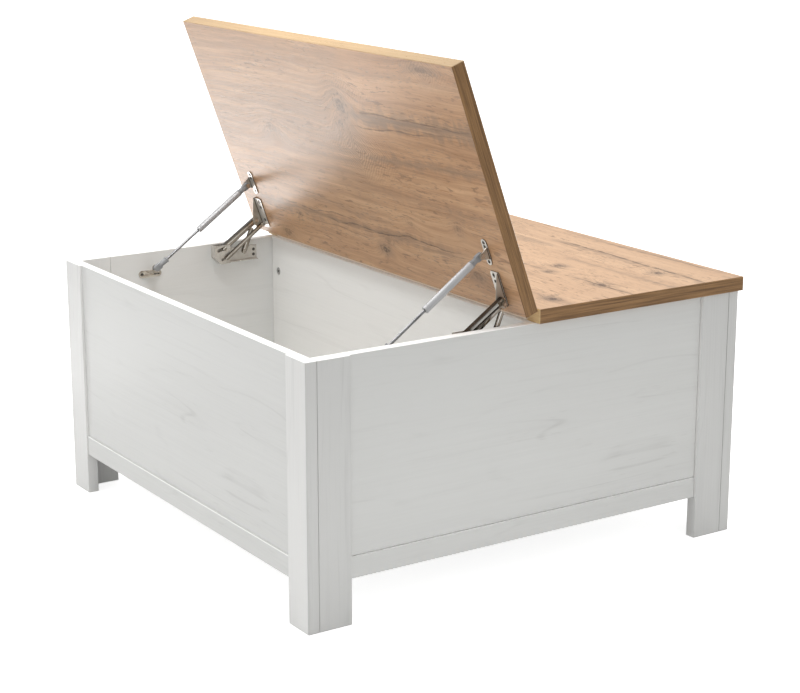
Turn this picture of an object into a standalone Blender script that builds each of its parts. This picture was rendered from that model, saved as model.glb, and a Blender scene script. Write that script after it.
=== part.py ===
"""Storage coffee table: a white-washed box on corner legs, under an oak top in two halves.

The rear half of the top is fixed. The front half is a lid, shown open, on two multi-link hinges
and two gas struts. Metres, +Z up, +X right, +Y back, origin on the floor under the middle.
A place on a side wall is written as (y, z), and a depth is measured from that wall inwards.
"""

import math

import bmesh
import bpy
from mathutils import Vector
from mathutils.geometry import intersect_point_line

# Body
TOP_SIZE = 0.900
OVERHANG = 0.006
RIM_HEIGHT = 0.448
BOARD_THICKNESS = 0.021
LEG_WIDTH = 0.061
PANEL_SETBACK = 0.005
FRONT_RAIL_SETBACK = 0.0025
SIDE_RAIL_SETBACK = 0.004
SIDE_GROOVE = 0.0015
RAIL_BOTTOM = 0.077
RAIL_HEIGHT = 0.037
RAIL_LEDGE = 0.012
FLOOR_BELOW_RAIL = 0.003
FLOOR_THICKNESS = 0.016
PARTITION_THICKNESS = 0.016
WOOD_EDGE = 0.0008
FIT = 0.0003

# Cam fittings in the partition
CAM_RADIUS = 0.0075
CAM_LENGTH = 0.010
CAM_SOCKET_RADIUS = 0.0028
CAM_SOCKET_DEPTH = 0.003
CAM_FROM_WALL = 0.024
CAM_BELOW_RIM = 0.067
CAM_ABOVE_FLOOR = 0.060

# Top and lid. The lid swings about a pole that the links make, with no pin in it
TOP_THICKNESS = 0.025
LID_GAP = 0.004
LID_LIFT = 0.0005
LID_OPEN = math.radians(70)
POLE_FROM_LID_BACK = 0.002
POLE_ABOVE_RIM = 0.024

# Hinge sheet metal
SHEET = 0.0016
LINK_THICKNESS = 0.0020
LOWER_ARM_THICKNESS = 0.0026
LAYER_PLAY = 0.0005
PIN_RADIUS = 0.0025
PIN_HEAD_RADIUS = 0.0042
PIN_HEAD = 0.0011
PIN_PLAY = 0.0003
LOWER_HALF_WIDTH = 0.0040
RIB_HALF_WIDTH = 0.0014
RIB_HEIGHT = 0.0007
RIB_FROM_PIN = 0.0090
LINK_HALF_WIDTH = 0.0050
CHANNEL_WALL = 0.0014
SLOT_PLAY = 0.0009
SCREW_HOLE_RADIUS = 0.0022

# Hinge pins: along the lid from its back edge, below its underside, and how far the base pins are
# from the pole
UPPER_PIN_ALONG, UPPER_PIN_BELOW = 0.0325, 0.0136
LOWER_PIN_ALONG, LOWER_PIN_BELOW = 0.0204, 0.0073
UPPER_REACH = 0.1225
LOWER_REACH = 0.1249
UPPER_SLOT = 0.0136
LOWER_SLOT = 0.0092
SHORT_LINK_FROM_LID = 0.070
SHORT_LINK_BELOW_RIM = 0.022
SHORT_LINK_ALONG_ARM = 0.020

# Hinge base bracket on the wall, as margins round what it carries
BASE_BELOW_RIM = 0.0025
BASE_END_ROOM = 0.0016
BASE_UNDER_ROOM = 0.0037
CHEEK_MARGIN = 0.0047
BASE_SLOPE = 0.013
BASE_STEP_MARGIN = 0.005
BASE_SCREW_BEHIND_LINK = 0.022
BASE_SCREW_SPACING = 0.010
BASE_BACK_MARGIN = 0.0048
BASE_CHAMFER = 0.013
BASE_FLANGE_WIDTH = 0.0067

# Hinge bracket under the lid
LID_BRACKET_LENGTH = 0.062
LID_BRACKET_BEHIND_PIN = 0.0058
LID_BRACKET_MARGIN = 0.007
LID_BRACKET_TIP_HEIGHT = 0.0045
LID_BRACKET_WIDTH = 0.023
LID_BRACKET_CORNER = 0.003
LID_SCREW_FROM_EDGE = 0.008
LID_SLOT_FROM_TIP = 0.0045
LID_SLOT_LENGTH = 0.005
LID_SCREWS_FROM_TIP = (0.0185, 0.046)

# Coil spring in the upper arm
SPRING_COIL_RADIUS = 0.0022
SPRING_WIRE = 0.0015
SPRING_PITCH = 0.00205
SPRING_POINTS = 8
SPRING_SIDE_ROOM = 0.00115
SPRING_FROM_PIN = 0.0090
SPRING_FROM_END = 0.0116

# Gas struts
STRUT_LID_ALONG, STRUT_LID_BELOW = 0.112, 0.015
STRUT_CLOSED_LENGTH = 0.1645
STRUT_WALL_BELOW_RIM = 0.027
STRUT_HEAD_ROOM = 0.0005
CYLINDER_RADIUS = 0.0064
CYLINDER_EDGE = 0.0008
CYLINDER_BAND = 0.0075
CYLINDER_FITTING = 0.022
CYLINDER_FLOOR = 0.0025
ROD_RADIUS = 0.0026
ROD_FITTING = 0.027
ROD_END_ROOM = 0.0015
STRUT_CLOSED_GAP = 0.004
FITTING_HALF_WIDTH = 0.0035
EYE_RADIUS = 0.0058
BOSS_RADIUS = 0.0046
NECK_RADIUS = 0.0054
NECK_COLLAR = 0.0020
STRUT_PIN_RADIUS = 0.0026
STRUT_BRACKET_HALF_LENGTH = 0.024
STRUT_BRACKET_HALF_WIDTH = 0.007
STRUT_SCREW_FROM_END = 0.0065
STRUT_SCREW_SPACING = 0.0070
STRUT_FLANGE_HALF_LENGTH = 0.012
STRUT_SHELF_HALF_LENGTH = 0.010

ROUND_STEPS = 20

# Colour, roughness and metallic value of each finish
PINE = ((0.66, 0.66, 0.64), 0.55, 0.0)
OAK = ((0.60, 0.42, 0.27), 0.50, 0.0)
NICKEL = ((0.62, 0.58, 0.52), 0.28, 1.0)
SPRING_STEEL = ((0.50, 0.49, 0.47), 0.35, 1.0)
GREY_PLASTIC = ((0.30, 0.31, 0.32), 0.50, 0.0)
GREY_PAINT = ((0.58, 0.59, 0.61), 0.35, 0.6)
ROD_STEEL = ((0.45, 0.45, 0.46), 0.20, 1.0)

HALF = TOP_SIZE / 2 - OVERHANG
INNER = HALF - BOARD_THICKNESS
RAIL_TOP = RAIL_BOTTOM + RAIL_HEIGHT
FLOOR_TOP = RAIL_TOP - FLOOR_BELOW_RAIL
LID_BACK_Y = -LID_GAP
LID_UNDERSIDE = RIM_HEIGHT + LID_LIFT
POLE = (LID_BACK_Y - POLE_FROM_LID_BACK, RIM_HEIGHT + POLE_ABOVE_RIM)
SIDES = (("left", -1), ("right", 1))
ENDS = (("front", -1), ("back", 1))

# The hinge is built up in layers, as depths from the side wall
SPRING_OUTER = SPRING_COIL_RADIUS + SPRING_WIRE / 2
BASE_NEAR = FIT
BASE_FAR = BASE_NEAR + SHEET
LINK_NEAR = BASE_FAR + LAYER_PLAY
LINK_FAR = LINK_NEAR + LINK_THICKNESS
CHANNEL_NEAR = LINK_FAR + FIT + PIN_HEAD + FIT
WEB_NEAR = CHANNEL_NEAR + FIT + 2 * SPRING_OUTER + FIT
CHANNEL_FAR = WEB_NEAR + SHEET
CHEEK_NEAR = CHANNEL_FAR + LAYER_PLAY
CHEEK_FAR = CHEEK_NEAR + SHEET
HEAD_NEAR = CHEEK_FAR + FIT
HEAD_FAR = HEAD_NEAR + PIN_HEAD
LOWER_NEAR = HEAD_FAR + FIT
LOWER_FAR = LOWER_NEAR + LOWER_ARM_THICKNESS
OUTER_HEAD_NEAR = LOWER_FAR + FIT
OUTER_HEAD_FAR = OUTER_HEAD_NEAR + PIN_HEAD
STRUT_FLANGE_NEAR = OUTER_HEAD_FAR + STRUT_HEAD_ROOM + PIN_HEAD + FIT
STRUT_FLANGE_FAR = STRUT_FLANGE_NEAR + SHEET
STRUT_DEPTH = STRUT_FLANGE_FAR + FIT + NECK_RADIUS
CHANNEL_INNER = SPRING_OUTER + SPRING_SIDE_ROOM
CHANNEL_HALF_WIDTH = CHANNEL_INNER + CHANNEL_WALL
HOLLOW_HEAD_NEAR = WEB_NEAR - FIT - PIN_HEAD
HOLLOW_HEAD_RADIUS = CHANNEL_INNER - SLOT_PLAY
WALL_HEAD_NEAR = CHEEK_NEAR - FIT - PIN_HEAD
SLOT_HALF_WIDTH = PIN_RADIUS + SLOT_PLAY


def clear_scene():
    for obj in list(bpy.data.objects):
        bpy.data.objects.remove(obj)


def finish_of(obj, finish):
    """Gives an object its own material."""
    color, roughness, metallic = finish
    made = bpy.data.materials.new(obj.name)
    made.use_nodes = True
    shader = made.node_tree.nodes["Principled BSDF"]
    shader.inputs["Base Color"].default_value = (*color, 1.0)
    shader.inputs["Roughness"].default_value = roughness
    shader.inputs["Metallic"].default_value = metallic
    made.diffuse_color = (*color, 1.0)
    obj.data.materials.append(made)


def add(name, shape, finish=None, location=(0, 0, 0), turn=0.0, parent=None):
    """Makes an object of a bmesh in its own frame, turned about X. With no finish it is a helper."""
    bmesh.ops.recalc_face_normals(shape, faces=shape.faces)
    mesh = bpy.data.meshes.new(name)
    shape.to_mesh(mesh)
    shape.free()
    obj = bpy.data.objects.new(name, mesh)
    bpy.context.collection.objects.link(obj)
    obj.location = location
    obj.rotation_euler.x = turn
    obj.parent = parent
    if finish:
        finish_of(obj, finish)
    else:
        obj.hide_render = True
        obj.display_type = "WIRE"
    return obj


def combine(obj, operation, shapes):
    """Joins shapes to an object, or cuts them from it. They are in the object's own frame."""
    for number, shape in enumerate(shapes):
        tool = add(f"{obj.name}_{operation.lower()}_{number}", shape, None, obj.location, 0, obj.parent)
        tool.rotation_euler = obj.rotation_euler
        modifier = obj.modifiers.new(f"{operation.lower()} {number}", "BOOLEAN")
        modifier.operation = operation
        modifier.object = tool


def soften(obj, width):
    modifier = obj.modifiers.new("edges", "BEVEL")
    modifier.width = width
    modifier.segments = 1
    modifier.limit_method = "ANGLE"


def smooth(obj):
    obj.data.shade_smooth()
    obj.data.set_sharp_from_angle(angle=math.radians(35))


def box(x, y, z):
    """A box between two values on each axis."""
    shape = bmesh.new()
    bmesh.ops.create_cube(shape, size=1.0)
    size = [abs(pair[1] - pair[0]) for pair in (x, y, z)]
    middle = [(pair[1] + pair[0]) / 2 for pair in (x, y, z)]
    bmesh.ops.scale(shape, vec=size, verts=shape.verts)
    bmesh.ops.translate(shape, vec=middle, verts=shape.verts)
    return shape


def prism(outline, x_from, x_to):
    """An outline of (y, z) points drawn out along X."""
    shape = bmesh.new()
    face = shape.faces.new([shape.verts.new((x_from, y, z)) for y, z in outline])
    drawn = bmesh.ops.extrude_face_region(shape, geom=[face])
    far_end = [item for item in drawn["geom"] if isinstance(item, bmesh.types.BMVert)]
    bmesh.ops.translate(shape, vec=(x_to - x_from, 0, 0), verts=far_end)
    return shape


def turned(profile):
    """An (r, z) profile, which starts and ends on the axis or closes on itself, turned about Z."""
    shape = bmesh.new()
    points = [shape.verts.new((r, 0, z)) for r, z in profile]
    if profile[0][0] > 0:
        points.append(points[0])
    edges = [shape.edges.new(pair) for pair in zip(points, points[1:])]
    bmesh.ops.spin(
        shape,
        geom=list(shape.verts) + edges,
        cent=(0, 0, 0),
        axis=(0, 0, 1),
        angle=2 * math.pi,
        steps=ROUND_STEPS,
        use_merge=True,
    )
    bmesh.ops.remove_doubles(shape, verts=shape.verts, dist=1e-6)
    return shape


def bar(start, end, radius, steps=8):
    """The outline of a bar with round ends, or of a disc where start and end are one point."""
    along = math.atan2(end[1] - start[1], end[0] - start[0])
    points = []
    for centre, first in ((end, along - math.pi / 2), (start, along + math.pi / 2)):
        for step in range(steps + 1):
            angle = first + math.pi * step / steps
            points.append((centre[0] + radius * math.cos(angle), centre[1] + radius * math.sin(angle)))
    if start == end:
        return points[:steps] + points[steps + 1 : -1]
    return points


def disc(centre, radius):
    return bar(centre, centre, radius)


def moved(point, along, distance):
    return (point[0] + distance * math.cos(along), point[1] + distance * math.sin(along))


def bearing(start, end):
    return math.atan2(end[1] - start[1], end[0] - start[0])


def swung(point, opened):
    """Where a (y, z) point of the closed lid is once the lid has opened by an angle."""
    y, z = point[0] - POLE[0], point[1] - POLE[1]
    cos, sin = math.cos(opened), math.sin(opened)
    return (POLE[0] + cos * y + sin * z, POLE[1] - sin * y + cos * z)


def under_lid(along, below):
    """A (y, z) point of the closed lid, from its back edge and its underside."""
    return (LID_BACK_Y - along, LID_UNDERSIDE - below)


def base_pin(lid_pin, reach):
    """The base end of an arm that is as long with the lid open as closed.

    Seen from the pole it lies midway between the two places of the arm's pin on the lid.
    """
    opened = swung(lid_pin, LID_OPEN)
    return moved(POLE, bearing(POLE, opened) + LID_OPEN / 2, reach)


def wall_x(side, depth):
    return side * (INNER - depth)


def sheet(outline, side, near, far):
    """A flat piece beside a side wall, between two depths."""
    return prism(outline, wall_x(side, near), wall_x(side, far))


def folded(faces):
    """A thin sheet of flat faces, each a list of points, joined along the folds that they share."""
    shape = bmesh.new()
    for points in faces:
        shape.faces.new([shape.verts.new(point) for point in points])
    bmesh.ops.remove_doubles(shape, verts=shape.verts, dist=1e-6)
    return shape


def thicken(obj):
    modifier = obj.modifiers.new("sheet", "SOLIDIFY")
    modifier.thickness = SHEET
    modifier.offset = 0
    modifier.use_even_offset = True
    modifier.use_quality_normals = True


def pin_shapes(centre, side, from_depth, to_depth, heads):
    """A pin across the layers, and its heads, each a depth where it starts and a radius."""
    shapes = [sheet(disc(centre, PIN_RADIUS), side, from_depth, to_depth)]
    for near, radius in heads:
        shapes.append(sheet(disc(centre, radius), side, near, near + PIN_HEAD))
    return shapes


def strut_wall_pin():
    """The wall end of a strut that has its closed length with the lid closed."""
    drop = STRUT_LID_PIN[1] - (RIM_HEIGHT - STRUT_WALL_BELOW_RIM)
    forward = math.sqrt(STRUT_CLOSED_LENGTH**2 - drop**2)
    return (STRUT_LID_PIN[0] - forward, STRUT_LID_PIN[1] - drop)


UPPER_PIN = under_lid(UPPER_PIN_ALONG, UPPER_PIN_BELOW)
LOWER_PIN = under_lid(LOWER_PIN_ALONG, LOWER_PIN_BELOW)
STRUT_LID_PIN = under_lid(STRUT_LID_ALONG, STRUT_LID_BELOW)
UPPER_BASE = base_pin(UPPER_PIN, UPPER_REACH)
LOWER_BASE = base_pin(LOWER_PIN, LOWER_REACH)
UPPER_SLOT_END = moved(UPPER_BASE, bearing(POLE, UPPER_BASE), UPPER_SLOT)
LOWER_SLOT_END = moved(LOWER_BASE, bearing(POLE, LOWER_BASE), LOWER_SLOT)
SHORT_LINK_BASE = (LID_BACK_Y - SHORT_LINK_FROM_LID, RIM_HEIGHT - SHORT_LINK_BELOW_RIM)
STRUT_WALL_PIN = strut_wall_pin()


def build_legs():
    for end_name, end in ENDS:
        for side_name, side in SIDES:
            face = box(
                (side * HALF, side * (HALF - LEG_WIDTH)),
                (end * HALF, end * INNER),
                (0, RIM_HEIGHT),
            )
            soften(add(f"leg_{end_name}_{side_name}_face", face, PINE), WOOD_EDGE)
            flank = box(
                (side * HALF, side * INNER),
                (end * (INNER - FIT), end * (INNER - LEG_WIDTH)),
                (0, RIM_HEIGHT),
            )
            soften(add(f"leg_{end_name}_{side_name}_flank", flank, PINE), WOOD_EDGE)


def build_panels():
    face_half = HALF - LEG_WIDTH - FIT
    flank_half = INNER - LEG_WIDTH - FIT
    for end_name, end in ENDS:
        across = (-face_half, face_half)
        through = (end * (HALF - PANEL_SETBACK), end * INNER)
        panel = box(across, through, (RAIL_TOP + FIT, RIM_HEIGHT))
        soften(add(f"panel_{end_name}", panel, PINE), WOOD_EDGE)
    for side_name, side in SIDES:
        across = (-flank_half, flank_half)
        through = (side * (HALF - PANEL_SETBACK), side * INNER)
        panel = box(through, across, (RAIL_TOP + SIDE_GROOVE, RIM_HEIGHT))
        soften(add(f"panel_{side_name}", panel, PINE), WOOD_EDGE)


def rail(half_length, setback):
    """A rail along X at the front, with a ledge inside for the floor."""
    ledge_top = FLOOR_TOP - FLOOR_THICKNESS - FIT
    outline = [
        (-(HALF - setback), RAIL_BOTTOM),
        (-(INNER - RAIL_LEDGE), RAIL_BOTTOM),
        (-(INNER - RAIL_LEDGE), ledge_top),
        (-INNER, ledge_top),
        (-INNER, RAIL_TOP),
        (-(HALF - setback), RAIL_TOP),
    ]
    return prism(outline, -half_length, half_length)


def build_rails():
    face_half = HALF - LEG_WIDTH - FIT
    flank_half = INNER - LEG_WIDTH - FIT
    rows = (
        ("front", face_half, FRONT_RAIL_SETBACK, 0),
        ("right", flank_half, SIDE_RAIL_SETBACK, 90),
        ("back", face_half, FRONT_RAIL_SETBACK, 180),
        ("left", flank_half, SIDE_RAIL_SETBACK, 270),
    )
    for name, half_length, setback, quarter in rows:
        made = add(f"rail_{name}", rail(half_length, setback), PINE)
        made.rotation_euler.z = math.radians(quarter)
        soften(made, WOOD_EDGE)


def cam_places():
    """The cams' names and places on the partition's front face."""
    heights = (("upper", RIM_HEIGHT - CAM_BELOW_RIM), ("lower", FLOOR_TOP + CAM_ABOVE_FLOOR))
    for side_name, side in SIDES:
        for height_name, height in heights:
            place = (wall_x(side, CAM_FROM_WALL), -PARTITION_THICKNESS / 2, height)
            yield f"cam_{side_name}_{height_name}", place


def round_post(radius, length):
    return turned([(0, 0), (radius, 0), (radius, -length), (0, -length)])


def build_inside():
    floor_half = INNER - FIT
    floor_z = (FLOOR_TOP - FLOOR_THICKNESS, FLOOR_TOP)
    floor = add("floor", box((-floor_half, floor_half), (-floor_half, floor_half), floor_z), PINE)
    soften(floor, WOOD_EDGE)
    half = PARTITION_THICKNESS / 2
    standing = box((-floor_half, floor_half), (-half, half), (FLOOR_TOP + FIT, RIM_HEIGHT - FIT))
    partition = add("partition", standing, PINE)
    soften(partition, WOOD_EDGE)
    facing_front = math.radians(90)
    pockets = []
    for name, place in cam_places():
        profile = [
            (0, -CAM_SOCKET_DEPTH),
            (CAM_SOCKET_RADIUS, -CAM_SOCKET_DEPTH),
            (CAM_SOCKET_RADIUS, 0),
            (CAM_RADIUS - WOOD_EDGE, 0),
            (CAM_RADIUS, -WOOD_EDGE),
            (CAM_RADIUS, -CAM_LENGTH),
            (0, -CAM_LENGTH),
        ]
        smooth(add(name, turned(profile), GREY_PLASTIC, place, facing_front))
        pocket = round_post(CAM_RADIUS + FIT, CAM_LENGTH + FIT)
        bmesh.ops.rotate(pocket, verts=pocket.verts, matrix=quarter_turn())
        bmesh.ops.translate(pocket, verts=pocket.verts, vec=place)
        pockets.append(pocket)
    combine(partition, "DIFFERENCE", pockets)


def quarter_turn():
    """Turns a shape made along Z to point out of the partition's front face."""
    return Vector((0, 0, 1)).rotation_difference(Vector((0, -1, 0))).to_matrix()


def build_top():
    half = TOP_SIZE / 2
    low = RIM_HEIGHT + FIT
    fixed = box((-half, half), (0, half), (low, low + TOP_THICKNESS))
    soften(add("top_fixed", fixed, OAK), WOOD_EDGE)
    pivot = bpy.data.objects.new("lid_pivot", None)
    bpy.context.collection.objects.link(pivot)
    pivot.location = (0, *POLE)
    pivot.rotation_euler.x = -LID_OPEN
    lid = box((-half, half), (-half, LID_BACK_Y), (LID_UNDERSIDE, LID_UNDERSIDE + TOP_THICKNESS))
    soften(add_on_lid("lid", lid, OAK, pivot), WOOD_EDGE)
    return pivot


def about(shape, pin):
    """A shape made in place, carried over so that a (y, z) point is its origin."""
    bmesh.ops.translate(shape, vec=(0, -pin[0], -pin[1]), verts=shape.verts)
    return shape


def add_on_lid(name, shape, finish, pivot):
    """A piece that swings with the lid, from a shape made where it is with the lid closed."""
    return add(name, about(shape, POLE), finish, parent=pivot)


def add_about(name, shape, finish, pin):
    """A piece that swings about a pin, from a shape made in place."""
    return add(name, about(shape, pin), finish, (0, *pin))


def build_hinge_base(name, side):
    """A plate on the wall, boxed in at the front, where a cheek with two slots guides the arms."""
    half = SHEET / 2
    front = UPPER_SLOT_END[0] - CHANNEL_HALF_WIDTH - BASE_END_ROOM - half
    box_back = LOWER_BASE[0] + SLOT_HALF_WIDTH + CHEEK_MARGIN
    screw_y = SHORT_LINK_BASE[0] + BASE_SCREW_BEHIND_LINK
    back = screw_y + SCREW_HOLE_RADIUS + BASE_BACK_MARGIN
    top = RIM_HEIGHT - BASE_BELOW_RIM
    step = SHORT_LINK_BASE[1] + LINK_HALF_WIDTH + BASE_STEP_MARGIN
    low = LOWER_SLOT_END[1] - LOWER_HALF_WIDTH - BASE_UNDER_ROOM - half
    plate_x, cheek_x = wall_x(side, BASE_NEAR + half), wall_x(side, CHEEK_NEAR + half)
    flange_x = wall_x(side, BASE_FAR + BASE_FLANGE_WIDTH)
    slope = box_back + BASE_SLOPE
    corner = [(front, low + BASE_CHAMFER), (front + BASE_CHAMFER, low)]
    outline = [*corner, (back, low), (back, step), (slope, step), (box_back, top), (front, top)]
    plate = [(plate_x, y, z) for y, z in outline]
    web = [(plate_x, *corner[0]), (cheek_x, *corner[0]), (cheek_x, front, top), (plate_x, front, top)]
    slant = [(x, *corner[1]) for x in (plate_x, flange_x, cheek_x)]
    slant += [(cheek_x, *corner[0]), (plate_x, *corner[0])]
    cheek = [(cheek_x, y, z) for y, z in (*corner, (box_back, low), (box_back, top), (front, top))]
    flange = [(plate_x, *corner[1]), (plate_x, back, low), (flange_x, back, low), (flange_x, *corner[1])]
    base = add(f"{name}_base", folded([plate, web, slant, cheek, flange]), NICKEL)
    thicken(base)
    through_plate = (BASE_NEAR - SHEET, BASE_FAR + SHEET)
    through_cheek = (CHEEK_NEAR - SHEET, CHEEK_FAR + SHEET)
    cuts = [sheet(disc(SHORT_LINK_BASE, PIN_RADIUS + PIN_PLAY), side, *through_plate)]
    for way in (-1, 1):
        screw = (screw_y, (low + step) / 2 + way * BASE_SCREW_SPACING / 2)
        cuts.append(sheet(disc(screw, SCREW_HOLE_RADIUS), side, *through_plate))
    for start, end in ((UPPER_BASE, UPPER_SLOT_END), (LOWER_BASE, LOWER_SLOT_END)):
        cuts.append(sheet(bar(start, end, SLOT_HALF_WIDTH), side, *through_cheek))
    combine(base, "DIFFERENCE", cuts)


def screw_hole(side, depth, y):
    """A cutter for a screw hole up into the lid."""
    drill = round_post(SCREW_HOLE_RADIUS, 3 * SHEET)
    bmesh.ops.translate(drill, vec=(wall_x(side, depth), y, LID_UNDERSIDE + SHEET), verts=drill.verts)
    return drill


def screw_slot(side, depth, y_from, y_to):
    """A cutter for a slot up into the lid."""
    outline = bar((wall_x(side, depth), y_from), (wall_x(side, depth), y_to), SCREW_HOLE_RADIUS)
    slot = bmesh.new()
    face = slot.faces.new([slot.verts.new((x, y, LID_UNDERSIDE - 2 * SHEET)) for x, y in outline])
    drawn = bmesh.ops.extrude_face_region(slot, geom=[face])
    upper = [item for item in drawn["geom"] if isinstance(item, bmesh.types.BMVert)]
    bmesh.ops.translate(slot, vec=(0, 0, 3 * SHEET), verts=upper)
    return slot


def build_lid_bracket(name, side, pivot):
    """A plate under the lid, with a tapered flange on its wall side that carries the arms' pins."""
    start = LOWER_PIN_ALONG - LID_BRACKET_BEHIND_PIN
    end = start + LID_BRACKET_LENGTH
    level = FIT + SHEET / 2
    flange_depth = CHEEK_NEAR + SHEET / 2
    edge_depth = flange_depth + LID_BRACKET_WIDTH
    corner = LID_BRACKET_CORNER

    def point(depth, along, below):
        return (wall_x(side, depth), *under_lid(along, below))

    web = [
        point(flange_depth, start, level),
        point(edge_depth - corner, start, level),
        point(edge_depth, start + corner, level),
        point(edge_depth, end - corner, level),
        point(edge_depth - corner, end, level),
        point(flange_depth, end, level),
    ]
    deep = UPPER_PIN_BELOW + LID_BRACKET_MARGIN
    flange = [
        point(flange_depth, start, level),
        point(flange_depth, end, level),
        point(flange_depth, end, LID_BRACKET_TIP_HEIGHT),
        point(flange_depth, UPPER_PIN_ALONG + LID_BRACKET_MARGIN / 2, deep),
        point(flange_depth, UPPER_PIN_ALONG - LID_BRACKET_MARGIN, deep),
        point(flange_depth, start, LOWER_PIN_BELOW + PIN_HEAD_RADIUS),
    ]
    bracket = add_on_lid(f"{name}_lid_bracket", folded([web, flange]), NICKEL, pivot)
    thicken(bracket)
    through = (CHEEK_NEAR - SHEET, CHEEK_FAR + SHEET)
    cuts = [sheet(disc(pin, PIN_RADIUS + PIN_PLAY), side, *through) for pin in (UPPER_PIN, LOWER_PIN)]
    screw_depth = edge_depth - LID_SCREW_FROM_EDGE
    tip = LID_BACK_Y - end
    slot_start = tip + LID_SLOT_FROM_TIP
    cuts.append(screw_slot(side, screw_depth, slot_start, slot_start + LID_SLOT_LENGTH))
    for from_tip in LID_SCREWS_FROM_TIP:
        cuts.append(screw_hole(side, screw_depth, tip + from_tip))
    combine(bracket, "DIFFERENCE", [about(shape, POLE) for shape in cuts])


def build_hinge_pins(name, side, pivot):
    """The two pins that ride with the lid, and the one in the base under the short link."""
    upper_heads = [(HOLLOW_HEAD_NEAR, HOLLOW_HEAD_RADIUS), (HEAD_NEAR, PIN_HEAD_RADIUS)]
    lower_heads = [(WALL_HEAD_NEAR, PIN_HEAD_RADIUS), (OUTER_HEAD_NEAR, PIN_HEAD_RADIUS)]
    rows = (("upper_pin", UPPER_PIN, upper_heads), ("lower_pin", LOWER_PIN, lower_heads))
    for pin_name, centre, heads in rows:
        shapes = pin_shapes(centre, side, heads[0][0], heads[1][0] + FIT, heads)
        made = add_on_lid(f"{name}_{pin_name}", shapes[0], NICKEL, pivot)
        combine(made, "UNION", [about(shape, POLE) for shape in shapes[1:]])
    head = LINK_FAR + FIT
    shapes = pin_shapes(SHORT_LINK_BASE, side, BASE_NEAR + FIT, head + FIT, [(head, PIN_HEAD_RADIUS)])
    made = add(f"{name}_link_pin", shapes[0], NICKEL)
    combine(made, "UNION", shapes[1:])


def build_hinge_arms(name, side):
    upper_pin, lower_pin = swung(UPPER_PIN, LID_OPEN), swung(LOWER_PIN, LID_OPEN)

    # a channel open to the wall, with a pin at its base end that rides in the cheek's upper slot
    channel = sheet(bar(upper_pin, UPPER_BASE, CHANNEL_HALF_WIDTH), side, CHANNEL_NEAR, CHANNEL_FAR)
    upper = add_about(f"{name}_upper_arm", channel, NICKEL, upper_pin)
    hollow = sheet(bar(upper_pin, UPPER_BASE, CHANNEL_INNER), side, CHANNEL_NEAR - SHEET, WEB_NEAR)
    hole = sheet(disc(upper_pin, PIN_RADIUS + PIN_PLAY), side, WEB_NEAR - SHEET, CHANNEL_FAR + SHEET)
    head = [(HEAD_NEAR, PIN_HEAD_RADIUS)]
    follower = pin_shapes(UPPER_BASE, side, CHANNEL_FAR - SHEET / 2, HEAD_NEAR + FIT, head)
    combine(upper, "DIFFERENCE", [about(hollow, upper_pin), about(hole, upper_pin)])
    combine(upper, "UNION", [about(shape, upper_pin) for shape in follower])

    # a flat bar with a pressed rib on the room's side of the cheek, with its pin in the lower slot
    lower_shape = sheet(bar(lower_pin, LOWER_BASE, LOWER_HALF_WIDTH), side, LOWER_NEAR, LOWER_FAR)
    lower = add_about(f"{name}_lower_arm", lower_shape, NICKEL, lower_pin)
    along = bearing(lower_pin, LOWER_BASE)
    rib_ends = (moved(lower_pin, along, RIB_FROM_PIN), moved(LOWER_BASE, along, -RIB_FROM_PIN))
    rib = sheet(bar(*rib_ends, RIB_HALF_WIDTH), side, LOWER_FAR - SHEET / 2, LOWER_FAR + RIB_HEIGHT)
    heads = [(WALL_HEAD_NEAR, PIN_HEAD_RADIUS), (LOWER_FAR - FIT, LOWER_HALF_WIDTH - FIT)]
    follower = pin_shapes(LOWER_BASE, side, WALL_HEAD_NEAR, LOWER_FAR - SHEET / 2, heads)
    hole = sheet(disc(lower_pin, PIN_RADIUS + PIN_PLAY), side, LOWER_NEAR - SHEET, LOWER_FAR + SHEET)
    combine(lower, "UNION", [about(shape, lower_pin) for shape in (rib, *follower)])
    combine(lower, "DIFFERENCE", [about(hole, lower_pin)])

    # a short flat link by the wall, whose upper rivet stays clear of the lower arm
    end = moved(lower_pin, along, SHORT_LINK_ALONG_ARM)
    link_shape = sheet(bar(SHORT_LINK_BASE, end, LINK_HALF_WIDTH), side, LINK_NEAR, LINK_FAR)
    link = add_about(f"{name}_short_link", link_shape, NICKEL, SHORT_LINK_BASE)
    rivet = sheet(disc(end, PIN_RADIUS), side, LINK_FAR - SHEET, LINK_FAR + PIN_HEAD)
    hole = sheet(disc(SHORT_LINK_BASE, PIN_RADIUS + PIN_PLAY), side, LINK_NEAR - SHEET, LINK_FAR + SHEET)
    combine(link, "UNION", [about(rivet, SHORT_LINK_BASE)])
    combine(link, "DIFFERENCE", [about(hole, SHORT_LINK_BASE)])


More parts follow.
